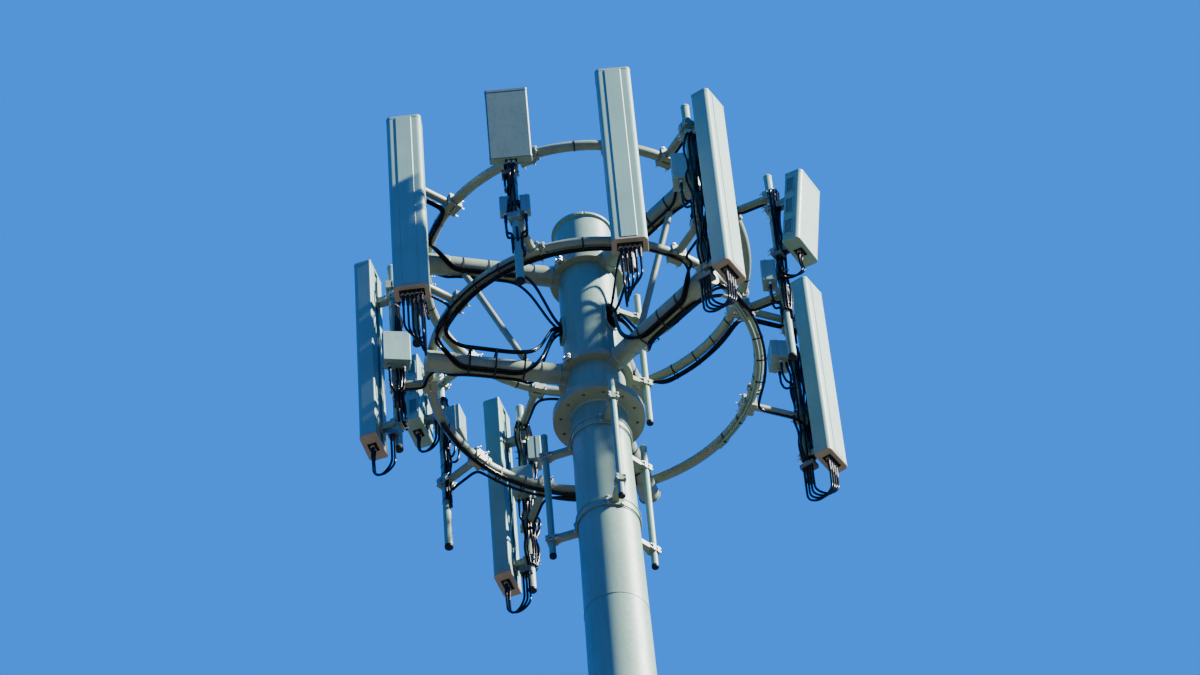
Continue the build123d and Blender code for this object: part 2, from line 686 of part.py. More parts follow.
def jumper_route(antenna, across):
    """Where a jumper goes, in the antenna's frame: X forward of the panel, Z up from its bottom."""
    start = -CONNECTOR_LENGTH - JUMPER_END_GAP
    lane = across * antenna.hand / CONNECTOR_PITCH
    end_x = CABLE_BLOCK_SHIFT - PANEL_STAND_OFF - lane * CABLE_BLOCK_PITCH
    end_y = antenna.hand * CABLE_BLOCK_SIDE
    sag = hypot(end_x, end_y - across) / 2 * tan(radians(30))
    leg = antenna.loop + lane * JUMPER_NEST - sag
    return [
        (0, across, start),
        (JUMPER_DRIFT * leg, across, start - 0.35 * leg),
        (0, across, start - leg),
        (end_x / 2, (across + end_y) / 2, start - leg - sag),
        (end_x, end_y, start - leg),
        (end_x, end_y, CABLE_BLOCK_RISE - SEAT_GAP),
    ]


def upright_panel_frame(antenna):
    """The antenna's frame without its tilt: its origin under the panel's middle, at its bottom."""
    pipe = pipe_point(antenna, lower_ring_height + antenna.rise)
    return frame_at(pipe, antenna.facing) * Pos(PANEL_STAND_OFF, 0, 0)


def make_jumpers(antenna):
    """The loops that hang from one panel's connectors and turn up into the block on its pipe."""
    frame = upright_panel_frame(antenna)
    tubes = []
    for across in connector_places(antenna):
        route = jumper_route(antenna, across)
        points = [placed(panel_bottom_frame(antenna), *p) for p in route[:2]]
        points += [placed(frame, *p) for p in route[2:]]
        tubes.append(cable_tube(points, JUMPER_DIAMETER))
    return tubes


def make_cable_block(antenna):
    """The block beside the mount pipe that the jumpers turn up into."""
    height = lower_ring_height + antenna.rise + CABLE_BLOCK_RISE + CABLE_BLOCK_HEIGHT / 2
    frame = frame_at(pipe_point(antenna, height), antenna.facing)
    length = (antenna.connectors + 1) * CABLE_BLOCK_PITCH
    outer = CABLE_BLOCK_SIDE + JUMPER_DIAMETER
    middle = (CABLE_BLOCK_SHIFT, antenna.hand * outer / 2, 0)
    return block(frame, middle, (length, outer, CABLE_BLOCK_HEIGHT)) - pipe_core(
        antenna, height, CABLE_BLOCK_HEIGHT
    )


def ring_cable_route(arm_azimuth, lane):
    """From the far antenna round under the lower ring, in beside the arm and up into the port."""
    under = lower_ring_height - RING_JOINT_DIAMETER / 2 - RING_CABLE_DIAMETER / 2 - SEAT_GAP
    side = lane * (RING_CABLE_DIAMETER + 2)
    steps = int((RING_CABLE_SPAN - RING_CABLE_TURN) / RING_CABLE_STEP)
    points = [
        polar(RING_RADIUS - side, arm_azimuth + RING_CABLE_SPAN - n * RING_CABLE_STEP, under)
        for n in range(steps + 1)
    ]
    arm = frame_at(polar(0, arm_azimuth, lower_ring_height), arm_azimuth)
    drop = under - lower_ring_height
    inward = [
        (1080, 128, drop),
        (860, 122, drop + 4),
        (660, 122, drop),
        (510, 112, drop + 40),
        (430, 84, drop + 150),
        (380, 50, drop + 280),
        (310, 24, PORT_RISE - 20),
        (215, 16, PORT_RISE + 4),
    ]
    return points + [placed(arm, x, y + side, z) for x, y, z in inward]


def make_ring_cables():
    """The trunk cables of each sector."""
    tubes = []
    for azimuth in arm_azimuths:
        for lane in range(RING_CABLE_LANES):
            tubes.append(cable_tube(ring_cable_route(azimuth, lane), RING_CABLE_DIAMETER))
    return {"ring_cables": Compound(children=tubes)}


def make_pole_mounts():
    """The short stand-off pipes: three banded to the pole's head, and one on the stub."""
    pipes, brackets, bands = [], [], []
    azimuths = [POLE_MOUNT_START + 360 / SECTOR_COUNT * n for n in range(SECTOR_COUNT)]
    for drop in POLE_MOUNT_BAND_DROPS:
        bottom = POLE_TOP - drop - POLE_BAND_HEIGHT / 2
        top = bottom + POLE_BAND_HEIGHT
        inner = head_outer_radius(bottom) + SEAT_GAP
        bands.append(
            turned(
                [
                    (inner, bottom),
                    (inner + POLE_BAND_THICKNESS, bottom),
                    (inner + POLE_BAND_THICKNESS, top),
                    (inner, top),
                ]
            )
        )
        for azimuth in azimuths:
            seat = inner + POLE_BAND_THICKNESS + SEAT_GAP
            brackets += pole_bracket(azimuth, POLE_TOP - drop, seat)
    for azimuth in azimuths:
        top = polar(POLE_MOUNT_REACH, azimuth, POLE_TOP)
        pipes.append(rod(top - Vector(0, 0, POLE_MOUNT_LENGTH), top, POLE_MOUNT_DIAMETER, PIPE_WALL))
    foot = polar(POLE_MOUNT_REACH, STUB_MOUNT_AZIMUTH, lower_ring_height + STUB_MOUNT_BOTTOM)
    pipes.append(rod(foot, foot + Vector(0, 0, STUB_MOUNT_LENGTH), POLE_MOUNT_DIAMETER, PIPE_WALL))
    for rise in STUB_BRACKET_RISES:
        brackets += pole_bracket(STUB_MOUNT_AZIMUTH, lower_ring_height + rise, stub_radius + SEAT_GAP)
    return {
        "pole_mount_pipes": Compound(children=pipes),
        "pole_mount_brackets": Compound(children=brackets),
        "pole_mount_bands": Compound(children=bands),
    }


def pole_bracket(azimuth, height, seat):
    """A curved-back plate on the pole, a web, and a split clamp on the short pipe: two solids."""
    frame = frame_at(polar(0, azimuth, height), azimuth)
    plate_depth, plate_width, plate_height = POLE_MOUNT_PLATE
    sagitta = seat - (seat**2 - plate_width**2 / 4) ** 0.5
    plate_front = seat + plate_depth
    plate = block(
        frame,
        (plate_front - (plate_depth + sagitta) / 2, 0, 0),
        (plate_depth + sagitta, plate_width, plate_height),
    )
    plate -= frame * Cylinder(seat, 2 * plate_height)
    jaw_frame = frame_at(polar(POLE_MOUNT_REACH, azimuth, height), azimuth)
    half = Vector(0, 0, POLE_MOUNT_JAW[2])
    centre = polar(POLE_MOUNT_REACH, azimuth, height)
    core = rod(centre - half, centre + half, POLE_MOUNT_DIAMETER + 2 * SEAT_GAP)
    near_jaw, far_jaw = jaw_pair(jaw_frame, POLE_MOUNT_JAW, core)
    web_end = POLE_MOUNT_REACH - POLE_MOUNT_JAW[0] / 2
    web = block(frame, ((plate_front + web_end) / 2, 0, 0), (web_end - plate_front, *POLE_MOUNT_WEB))
    return [joined([plate, web, near_jaw]), far_jaw]


def make_antennas():
    """Everything outside the rings, with the three mounts of a sector sharing their nodes."""
    nodes = {}
    for number, antenna in enumerate(ANTENNAS, start=1):
        nodes[f"panel_antenna_{number}"] = make_panel(antenna)
    for sector in ("front", "right", "left"):
        members = [a for a in ANTENNAS if a.sector == sector]
        pipes, stand_offs, brackets, blocks, jumpers = [], [], [], [], []
        for antenna in members:
            foot = pipe_point(antenna, pipe_bottom)
            pipes.append(rod(foot, pipe_point(antenna, pipe_top), PIPE_DIAMETER, PIPE_WALL))
            for ring_height in (lower_ring_height, upper_ring_height):
                stand_offs += make_stand_off(antenna, ring_height)
            brackets += make_panel_brackets(antenna)
            blocks.append(make_cable_block(antenna))
            jumpers += make_jumpers(antenna)
        radios = []
        for radio in RADIOS:
            if ANTENNAS[radio.antenna - 1].sector == sector:
                radios += make_radio(radio)
        nodes[f"{sector}_mount_pipes"] = Compound(children=pipes)
        nodes[f"{sector}_stand_offs"] = Compound(children=stand_offs)
        nodes[f"{sector}_panel_brackets"] = Compound(children=brackets)
        nodes[f"{sector}_cable_blocks"] = Compound(children=blocks)
        nodes[f"{sector}_radios"] = Compound(children=radios)
        nodes[f"{sector}_jumpers"] = Compound(children=jumpers)
    return nodes


def main():
    os.makedirs("parts", exist_ok=True)
    nodes = {}
    for make in (
        make_base,
        make_pole,
        make_access,
        make_flanges,
        make_stub,
        make_headframe,
        make_pole_mounts,
        make_antennas,
        make_ring_cables,
    ):
        nodes.update(make())
    for name, solid in nodes.items():
        export_step(solid, f"parts/{name}.step")


main()
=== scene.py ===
"""Dresses the monopole cell tower: weathered paint, radomes, cables, ties, bolts and connectors.

Metres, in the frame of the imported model: +Z up, the origin under the middle of the base plate.
Azimuths are degrees from +X, counter-clockwise seen from above.
"""
import math
import random
from collections import namedtuple

import bmesh
import bpy
from mathutils import Matrix, Vector


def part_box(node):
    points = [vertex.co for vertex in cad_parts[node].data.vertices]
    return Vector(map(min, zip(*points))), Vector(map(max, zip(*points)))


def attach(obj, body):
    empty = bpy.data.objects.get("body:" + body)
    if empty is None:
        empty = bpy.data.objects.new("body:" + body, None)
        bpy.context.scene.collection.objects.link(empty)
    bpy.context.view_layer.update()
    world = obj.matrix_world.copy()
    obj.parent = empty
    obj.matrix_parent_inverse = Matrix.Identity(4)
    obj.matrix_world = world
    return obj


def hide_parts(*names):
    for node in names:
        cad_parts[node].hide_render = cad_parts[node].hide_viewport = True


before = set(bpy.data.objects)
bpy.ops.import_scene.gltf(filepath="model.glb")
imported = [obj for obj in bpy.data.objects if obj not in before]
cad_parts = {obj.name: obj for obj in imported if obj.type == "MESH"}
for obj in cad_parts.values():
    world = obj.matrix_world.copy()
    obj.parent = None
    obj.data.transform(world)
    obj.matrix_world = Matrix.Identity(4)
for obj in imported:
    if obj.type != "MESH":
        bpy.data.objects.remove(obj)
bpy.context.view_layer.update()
draw = random.Random(41)

# Heights and radii that the pieces are placed by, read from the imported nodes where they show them
LOWER_RING = (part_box("lower_ring")[0][2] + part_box("lower_ring")[1][2]) / 2
UPPER_RING = (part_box("upper_ring")[0][2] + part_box("upper_ring")[1][2]) / 2
RINGS = (LOWER_RING, UPPER_RING)
FLANGE_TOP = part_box("headframe_flange")[1][2]
FLANGE_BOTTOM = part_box("pole_head_flange")[0][2]
STUB_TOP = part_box("headframe_stub")[1][2]
STUB_RADIUS = 0.224
RING_RADIUS = 1.25
RING_TUBE = 0.039
ARM_RADIUS = 0.075
SLEEVE_RADIUS = 0.081
SLEEVE_START = 1.09
SOCKET_END = 0.42
ARM_DROP = 0.112
ARM_AZIMUTHS = (195, 315, 75)
PIPE_RADIUS = 0.0315
PIPE_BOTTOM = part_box("front_mount_pipes")[0][2]
PIPE_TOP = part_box("front_mount_pipes")[1][2]
PANEL_STAND_OFF = 0.2
CONNECTOR_LENGTH = 0.034
CONNECTOR_PITCH = 0.034
BLOCK_PITCH = 0.024
BLOCK_SIDE = 0.062
BLOCK_SHIFT = 0.026
BLOCK_RISE = 0.008
JUMPER_DRIFT = 0.017
JUMPER_NEST = 0.028
JUMPER_RADIUS = 0.009
JUMPER_RESOLUTION = 8
RING_CABLE_RADIUS = 0.009
RING_CABLE_PITCH = 0.02
RING_CABLE_DROP = 0.0673
RING_CABLE_SPAN = 88
PAINTED_ARM = 315

Antenna = namedtuple("Antenna", "number sector size azimuth reach facing tilt rise connectors loop hand")
ANTENNAS = (
    Antenna(1, "front", "large", 219.0, 0.392, 268, 0, -0.38, 5, 0.45, 1),
    Antenna(2, "front", "thin", 252.8, 0.358, 270, 10, 0.46, 2, 0.19, -1),
    Antenna(3, "front", "large", 282.3, 0.334, 270, 0, -0.69, 5, 0.4, -1),
    Antenna(4, "right", "large", 303.1, 0.339, 330, 0, -0.72, 4, 0.33, -1),
    Antenna(5, "right", "small", 338.7, 0.323, 332, 8, 0.36, 2, 0.24, -1),
    Antenna(6, "right", "large", 24.0, 0.446, 329, 0, -0.64, 4, 0.33, -1),
    Antenna(7, "left", "large", 180.5, 0.257, 166, 0, -0.62, 2, 0.33, 1),
    Antenna(8, "left", "small", 140.0, 0.350, 165, 0, 0.66, 2, 0.24, 1),
    Antenna(9, "left", "large", 111.9, 0.433, 164, 0, -0.58, 3, 0.33, 1),
)
PANEL_SIZES = {"large": (0.14, 0.265, 2.03), "small": (0.14, 0.315, 0.76), "thin": (0.07, 0.315, 0.69)}
BRACKET_END_OFFSET = {"large": 0.18, "small": 0.12, "thin": 0.12}
BRACKET_CLEARANCE = 0.13


def polar(radius, azimuth, height):
    angle = math.radians(azimuth)
    return Vector((radius * math.cos(angle), radius * math.sin(angle), height))


def frame_at(origin, azimuth):
    """A matrix with X along the azimuth and Z up."""
    return Matrix.Translation(origin) @ Matrix.Rotation(math.radians(azimuth), 4, "Z")


def raised(place, height):
    """An upright matrix at a height over a place."""
    return Matrix.Translation(place + Vector((0, 0, height)))


def pipe_point(antenna, height):
    return polar(RING_RADIUS + antenna.reach, antenna.azimuth, height)


def panel_bottom(antenna):
    return LOWER_RING + antenna.rise


def bracket_heights(antenna):
    """The heights of a panel's two brackets, which keep clear of the ring clamps."""
    offset = BRACKET_END_OFFSET[antenna.size]
    length = PANEL_SIZES[antenna.size][2]
    wanted = (panel_bottom(antenna) + offset, min(panel_bottom(antenna) + length - offset, PIPE_TOP - 0.07))
    heights = []
    for height in wanted:
        for ring in RINGS:
            if abs(height - ring) < BRACKET_CLEARANCE:
                height = ring - BRACKET_CLEARANCE
        heights.append(height)
    return heights


def panel_frame(antenna):
    """X out of the panel's front, Z along it, the origin in the middle of its bottom."""
    low = bracket_heights(antenna)[0]
    pipe = frame_at(pipe_point(antenna, low), antenna.facing)
    level = Matrix.Translation((PANEL_STAND_OFF, 0, 0)) @ Matrix.Rotation(math.radians(antenna.tilt), 4, "Y")
    return pipe @ level @ Matrix.Translation((0, 0, panel_bottom(antenna) - low))


# Materials


class Shader:
    """A node tree that starts from a Principled shader and reads the model's own coordinates."""

    def __init__(self, name, roughness, metallic=0.0, specular=0.5):
        self.material = bpy.data.materials.new(name)
        self.material.use_nodes = True
        self.tree = self.material.node_tree
        self.tree.nodes.clear()
        output = self.node("ShaderNodeOutputMaterial")
        values = (("Roughness", roughness), ("Metallic", metallic), ("Specular IOR Level", specular))
        self.shader = self.node("ShaderNodeBsdfPrincipled", *values)
        self.link(self.shader.outputs[0], output.inputs[0])
        self.place = self.node("ShaderNodeTexCoord").outputs["Object"]

    def node(self, kind, *values):
        """A new node, with values given as (input, value) pairs."""
        node = self.tree.nodes.new(kind)
        for socket, value in values:
            node.inputs[socket].default_value = value
        return node

    def link(self, source, target):
        self.tree.links.new(source, target)

    def noise(self, scale, detail, stretch=(1, 1, 1), rough=0.55):
        """A noise over coordinates that are scaled along each axis."""
        mapping = self.node("ShaderNodeMapping", ("Scale", stretch))
        self.link(self.place, mapping.inputs["Vector"])
        node = self.node("ShaderNodeTexNoise", ("Scale", scale), ("Detail", detail), ("Roughness", rough))
        self.link(mapping.outputs["Vector"], node.inputs["Vector"])
        return node.outputs["Fac"]

    def ramp(self, factor, *stops):
        """A colour ramp from (position, colour) stops."""
        node = self.node("ShaderNodeValToRGB")
        elements = node.color_ramp.elements
        while len(elements) < len(stops):
            elements.new(0.5)
        for element, (position, colour) in zip(elements, stops):
            element.position = position
            element.color = (*colour, 1)
        self.link(factor, node.inputs["Fac"])
        return node.outputs["Color"]

    def mixed(self, factor, first, second, blend="MIX"):
        node = self.node("ShaderNodeMix")
        node.data_type = "RGBA"
        node.blend_type = blend
        for value, socket in ((factor, 0), (first, 6), (second, 7)):
            if isinstance(value, bpy.types.NodeSocket):
                self.link(value, node.inputs[socket])
            else:
                node.inputs[socket].default_value = (*value, 1) if isinstance(value, tuple) else value
        return node.outputs[2]

    def spread(self, factor, start, end, low, high):
        """The factor's range from start to end, spread from low to high."""
        values = (("From Min", start), ("From Max", end), ("To Min", low), ("To Max", high))
        node = self.node("ShaderNodeMapRange", *values)
        self.link(factor, node.inputs["Value"])
        return node.outputs["Result"]

    def colour(self, socket):
        self.link(socket, self.shader.inputs["Base Color"])

    def roughness(self, factor, low, high):
        self.link(self.spread(factor, 0.3, 0.7, low, high), self.shader.inputs["Roughness"])

    def bump(self, factor, strength, distance):
        node = self.node("ShaderNodeBump", ("Strength", strength), ("Distance", distance))
        self.link(factor, node.inputs["Height"])
        self.link(node.outputs["Normal"], self.shader.inputs["Normal"])


def paint_material(name, base, shade, dirt):
    """Brushed-on mast paint: broad fading, rain streaks, grime specks and a fine texture."""
    s = Shader(name, 0.5)
    broad = s.ramp(s.noise(1.3, 5), (0.34, shade), (0.62, base))
    streaks = s.ramp(s.noise(22, 5, (1, 1, 0.06)), (0.44, (1, 1, 1)), (0.72, (0.82, 0.84, 0.8)))
    washed = s.mixed(0.8, broad, streaks, "MULTIPLY")
    specks = s.ramp(s.noise(55, 6, rough=0.7), (0.62, (0, 0, 0)), (0.72, (1, 1, 1)))
    s.colour(s.mixed(specks, washed, dirt))
    s.roughness(s.noise(30, 4), 0.36, 0.56)
    s.bump(s.noise(240, 3), 0.05, 0.0012)
    return s.material


def radome_material(name, base, shade, grime):
    """Matte moulded plastic, a little chalky, with faint drips and dust."""
    s = Shader(name, 0.5)
    tone = s.ramp(s.noise(2.2, 4), (0.35, shade), (0.65, base))
    drips = s.ramp(s.noise(30, 4, (1, 1, 0.04)), (0.5, (1, 1, 1)), (0.78, (0.86, 0.88, 0.84)))
    streaked = s.mixed(0.7, tone, drips, "MULTIPLY")
    specks = s.ramp(s.noise(80, 6, rough=0.75), (0.66, (0, 0, 0)), (0.78, (1, 1, 1)))
    s.colour(s.mixed(specks, streaked, grime))
    s.roughness(s.noise(40, 4), 0.4, 0.58)
    s.bump(s.noise(420, 2), 0.1, 0.0006)
    return s.material


def plain_material(name, base, shade, low, high, metallic=0.0, specular=0.5):
    """A two-tone finish with uneven gloss and a fine grain."""
    s = Shader(name, low, metallic, specular)
    s.colour(s.ramp(s.noise(24, 5), (0.36, shade), (0.64, base)))
    s.roughness(s.noise(60, 4), low, high)
    s.bump(s.noise(180, 3), 0.2, 0.0006)
    return s.material


paint = paint_material("mast_paint", (0.14, 0.225, 0.165), (0.115, 0.19, 0.138), (0.06, 0.08, 0.055))
steel_paint = paint_material("steel_paint", (0.16, 0.2, 0.128), (0.128, 0.162, 0.104), (0.07, 0.07, 0.045))
radome = radome_material("radome_plastic", (0.15, 0.25, 0.19), (0.13, 0.22, 0.168), (0.09, 0.12, 0.09))
# Painted shade: a much darker copy of the radome plastic, for the tilted front of the thin panel and the
# floors of the side pockets.
painted_shade_radome = radome_material(
    "painted_shade_radome_plastic", (0.055, 0.1, 0.085), (0.045, 0.085, 0.073), (0.04, 0.05, 0.04)
)
end_cap = radome_material("end_cap_plastic", (0.27, 0.215, 0.135), (0.22, 0.175, 0.11), (0.12, 0.09, 0.06))
radio_paint = paint_material("radio_paint", (0.14, 0.225, 0.2), (0.115, 0.185, 0.168), (0.065, 0.085, 0.07))
jacket = plain_material(
    "cable_jacket", (0.0012, 0.0013, 0.0016), (0.002, 0.0021, 0.0024), 0.17, 0.27, specular=0.13
)
# Rubber for boots, ties and pipe foot caps; in the panels' connector wells the same near-black is painted
# shade.
rubber_and_well_shade = plain_material("rubber_boot_and_well_shade", (0.003, 0.003, 0.0034), (0.005, 0.005, 0.0055), 0.4, 0.6, specular=0.2)
block_plastic = plain_material("cable_block_plastic", (0.05, 0.055, 0.06), (0.08, 0.085, 0.09), 0.38, 0.55)
zinc = plain_material("zinc_plate", (0.47, 0.48, 0.47), (0.33, 0.34, 0.33), 0.36, 0.56, 0.85)
nickel = plain_material("connector_nickel", (0.62, 0.6, 0.55), (0.45, 0.43, 0.39), 0.2, 0.36, 0.95)


def cover(node_object, material):
    """Gives a carried-over node one material in every slot."""
    mesh = node_object.data
    mesh.materials.clear()
    mesh.materials.append(material)
    for polygon in mesh.polygons:
        polygon.material_index = 0


def material_for(node):
    if node.startswith("panel_antenna"):
        return radome
    if node.endswith("radios"):
        return radio_paint
    if node.endswith(("jumpers", "ring_cables")):
        return jacket
    if node.endswith("cable_blocks"):
        return block_plastic
    if node == "flange_bolts":
        return zinc
    if node.endswith(("stand_offs", "brackets")):
        return steel_paint
    if node.startswith(("lower_", "upper_", "arm_", "headframe_flange", "pole_head_flange")):
        return steel_paint
    return paint


for node_name, node_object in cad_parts.items():
    cover(node_object, material_for(node_name))

CAP_THICKNESS = 0.026
WELL_SHARE = 0.52
WELL_OVERHANG = 0.6
WELL_CEILING = 0.0155
FRONT_LAYER = 0.003
MARGIN = 0.0005
PANEL_FINISHES = (radome, end_cap, rubber_and_well_shade, nickel, painted_shade_radome)
PAINTED_MIDDLE = 8
PAINTED_HALF_SPAN = 42


def panel_finish(antenna, middle):
    """Which material a panel's face with this middle, in the panel's own frame, takes: what it is made of, or
    painted shade in the connector well and on the thin panel's front.
    """
    thickness = PANEL_SIZES[antenna.size][0]
    well_half_breadth = thickness * WELL_SHARE / 2 + MARGIN
    well_half_width = (antenna.connectors + WELL_OVERHANG) * CONNECTOR_PITCH / 2 + MARGIN
    if middle.z < -MARGIN:
        return nickel
    # Painted shade: the connector well is coloured near-black, as the recess is in shade.
    if middle.z < WELL_CEILING and abs(middle.x) < well_half_breadth and abs(middle.y) < well_half_width:
        return rubber_and_well_shade
    if antenna.size == "large" and middle.z < CAP_THICKNESS + MARGIN:
        return end_cap
    # Painted shade: the thin panel's tilted front takes the darker radome, as it is turned away from the key
    # light.
    if antenna.size == "thin" and middle.x > thickness / 2 - FRONT_LAYER:
        return painted_shade_radome
    return radome


def dress_panel(antenna):
    """Gives the caps and connectors of a panel their own materials, and painted shade to its connector well
    and to a thin panel's front.
    """
    node_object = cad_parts[f"panel_antenna_{antenna.number}"]
    mesh = node_object.data
    for material in PANEL_FINISHES[1:]:
        mesh.materials.append(material)
    to_panel = panel_frame(antenna).inverted() @ node_object.matrix_world
    for polygon in mesh.polygons:
        polygon.material_index = PANEL_FINISHES.index(panel_finish(antenna, to_panel @ polygon.center))


for each_antenna in ANTENNAS:
    dress_panel(each_antenna)


def paint_ring_cables():
    """Paints over the cables of the ring's right part, as they are on the tower."""
    node_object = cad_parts["ring_cables"]
    node_object.data.materials.append(paint)
    for polygon in node_object.data.polygons:
        middle = node_object.matrix_world @ polygon.center
        azimuth = math.degrees(math.atan2(middle.y, middle.x))
        if abs(azimuth - PAINTED_MIDDLE) < PAINTED_HALF_SPAN:
            polygon.material_index = 1


paint_ring_cables()


# Mesh helpers


def piece(name, bm, material, smooth_angle=30):
    """Makes the mesh an object that rides on the tower."""
    mesh = bpy.data.meshes.new(name)
    bm.normal_update()
    bm.to_mesh(mesh)
    bm.free()
    for polygon in mesh.polygons:
        polygon.use_smooth = True
    mesh.set_sharp_from_angle(angle=math.radians(smooth_angle))
    mesh.materials.append(material)
    obj = bpy.data.objects.new(name, mesh)
    bpy.context.scene.collection.objects.link(obj)
    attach(obj, "root")


def along(start, direction):
    """A matrix at start whose Z runs along the direction."""
    turn = Vector(direction).to_track_quat("Z", "Y").to_matrix().to_4x4()
    return Matrix.Translation(start) @ turn


def bridge(bm, loops):
    """Faces between each closed loop of vertices and the next; a loop may be a single point."""
    for first, second in zip(loops, loops[1:]):
        sides = max(len(first), len(second))
        for n in range(sides):
            m = (n + 1) % sides
            if len(first) == 1:
                bm.faces.new((first[0], second[n], second[m]))
            elif len(second) == 1:
                bm.faces.new((first[n], first[m], second[0]))
            else:
                bm.faces.new((first[n], first[m], second[m], second[n]))


def circle(radius, sides):
    """(x, y) of the points round a circle."""
    turns = [2 * math.pi * n / sides for n in range(sides)]
    return [(radius * math.cos(turn), radius * math.sin(turn)) for turn in turns]


def lathe(bm, matrix, outline, sides):
    """A closed turned form from (radius, height) points; a radius of 0 closes an end."""
    rings = []
    for radius, height in outline:
        points = [(0, 0)] if radius == 0 else circle(radius, sides)
        rings.append([bm.verts.new(matrix @ Vector((x, y, height))) for x, y in points])
    bridge(bm, rings)


# Sizes of bolts, as shares of their diameter
WASHER_REACH = 1.15
WASHER_HEIGHT = 0.18
NUT_ACROSS = 1.65
HEAD_HEIGHT = 0.62
NUT_HEIGHT = 0.8


def hexagon(bm, matrix, across, height):
    """A hexagonal head or nut with a chamfered top, standing on the matrix's origin."""
    r = across / math.sqrt(3)
    lathe(bm, matrix, [(0, 0), (r, 0), (r, height * 0.82), (r * 0.86, height), (0, height)], 6)


def disc(bm, matrix, radius, height, sides):
    """A washer, collar or shank: a plain round part of a larger fitting."""
    lathe(bm, matrix, [(0, 0), (radius, 0), (radius, height), (0, height)], sides)


def bolt(bm, matrix, spot, grip, diameter, proud=0.018):
    """A bolt along the grip, which is centred on the spot: head at its end, nut at its start."""
    start = matrix @ (Vector(spot) + Vector(grip) / 2)
    end = matrix @ (Vector(spot) - Vector(grip) / 2)
    out = (start - end).normalized()
    washer_radius = WASHER_REACH * diameter
    washer_height = WASHER_HEIGHT * diameter
    across = NUT_ACROSS * diameter
    disc(bm, along(start, out), washer_radius, washer_height, 14)
    hexagon(bm, along(start + out * washer_height, out), across, HEAD_HEIGHT * diameter)
    tail = along(end, -out)
    disc(bm, tail, washer_radius, washer_height, 14)
    hexagon(bm, along(end - out * washer_height, -out), across, NUT_HEIGHT * diameter)
    reach = proud + (WASHER_HEIGHT + NUT_HEIGHT) * diameter
    thread = [(0, 0), (diameter / 2, 0), (diameter / 2, reach * 0.95), (diameter * 0.4, reach), (0, reach)]
    lathe(bm, tail, thread, 10)
    disc(bm, along(start, -out), diameter / 2, (end - start).length, 8)


def curve_through(name, points, resolution, closed=False):
    """A curve object along one smooth line, drawn by its control points."""
    curve = bpy.data.curves.new(name, "CURVE")
    curve.dimensions = "3D"
    spline = curve.splines.new("NURBS")
    spline.points.add(len(points) - 1)
    for target, point in zip(spline.points, points):
        target.co = (*point, 1)
    spline.order_u = 3
    if closed:
        spline.use_cyclic_u = True
    else:
        spline.use_endpoint_u = True
    curve.resolution_u = resolution
    obj = bpy.data.objects.new(name, curve)
    bpy.context.scene.collection.objects.link(obj)
    return obj


def cable(name, points, radius, resolution, material=jacket, roundness=3, closed=False):
    """A cable, or another round bar, along one smooth line."""
    lead = curve_through(name, points, resolution, closed)
    lead.data.bevel_depth = radius
    lead.data.bevel_resolution = roundness
    lead.data.use_fill_caps = not closed
    lead.data.materials.append(material)
    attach(lead, "root")
    return lead


def smooth_line(points):
    """Points read from the smooth line of a jumper's route."""
    route = curve_through("route", points, JUMPER_RESOLUTION)
    mesh = bpy.data.meshes.new_from_object(route)
    line = [vertex.co.copy() for vertex in mesh.vertices]
    bpy.data.objects.remove(route)
    bpy.data.meshes.remove(mesh)
    return line


def line_length(points):
    return sum((b - a).length for a, b in zip(points, points[1:]))


FACE_HALF_WIDTH = 0.0615
FACE_RISE = 0.0055
FACE_SUNK = 0.003
FACE_END_GAP = 0.001


def make_radome_faces():
    """The raised middle strip down the front of each tall radome, with sloping edges."""
    bm = bmesh.new()
    thickness, _, length = PANEL_SIZES["large"]
    half = [
        (thickness / 2 - FACE_SUNK, FACE_HALF_WIDTH),
        (thickness / 2, FACE_HALF_WIDTH),
        (thickness / 2 + FACE_RISE, FACE_HALF_WIDTH - FACE_RISE * 0.9),
    ]
    outline = [(x, -y) for x, y in half] + half[::-1]
    end_gap = CAP_THICKNESS + FACE_END_GAP
    for antenna in ANTENNAS:
        if antenna.size != "large":
            continue
        to_world = panel_frame(antenna)
        low = [bm.verts.new(to_world @ Vector((x, y, end_gap))) for x, y in outline]
        high = [bm.verts.new(to_world @ Vector((x, y, length - end_gap))) for x, y in outline]
        bridge(bm, (low, high))
        bm.faces.new(low[::-1])
        bm.faces.new(high)
    piece("radome_faces", bm, radome, 20)


POCKET_SIZE = (0.062, 0.15)
POCKET_SHIFT = -0.018
POCKET_RIM = 0.006
POCKET_RIM_DEPTH = 0.011
POCKET_FLOOR_DEPTH = 0.0016
POCKET_PLACES = (0.2, 0.5, 0.8)


def slab(bm, middle, size):
    bmesh.ops.create_cube(bm, size=1, matrix=middle @ Matrix.Diagonal((*size, 1)))


def make_side_pockets():
    """Framed pockets down the sides of the short, thick panels, towards their backs."""
    rims, floors = bmesh.new(), bmesh.new()
    _, width, length = PANEL_SIZES["small"]
    breadth, height = POCKET_SIZE
    for antenna in ANTENNAS:
        if antenna.size != "small":
            continue
        for side in (-1, 1):
            for share in POCKET_PLACES:
                place = Matrix.Translation((POCKET_SHIFT, side * width / 2, share * length))
                middle = panel_frame(antenna) @ place
                slab(floors, middle, (breadth, POCKET_FLOOR_DEPTH, height))
                for way in (-1, 1):
                    upright = middle @ Matrix.Translation((way * breadth / 2, 0, 0))
                    slab(rims, upright, (POCKET_RIM, POCKET_RIM_DEPTH, height + POCKET_RIM))
                    level = middle @ Matrix.Translation((0, 0, way * height / 2))
                    slab(rims, level, (breadth + POCKET_RIM, POCKET_RIM_DEPTH, POCKET_RIM))
    piece("panel_pocket_rims", rims, radome)
    # Painted shade: the pocket floors take the darker radome, as the recesses are in shade.
    piece("panel_pocket_floors", floors, painted_shade_radome)


# Camera, lights and stage

SENSOR_WIDTH = 36
FOCAL_LENGTH = 140.0715
CAMERA_PLACE = (0, -23.315, 1.6)
CAMERA_PITCH = 49.163
CAMERA_ROLL = -5.358
CAMERA_YAW = 0.156


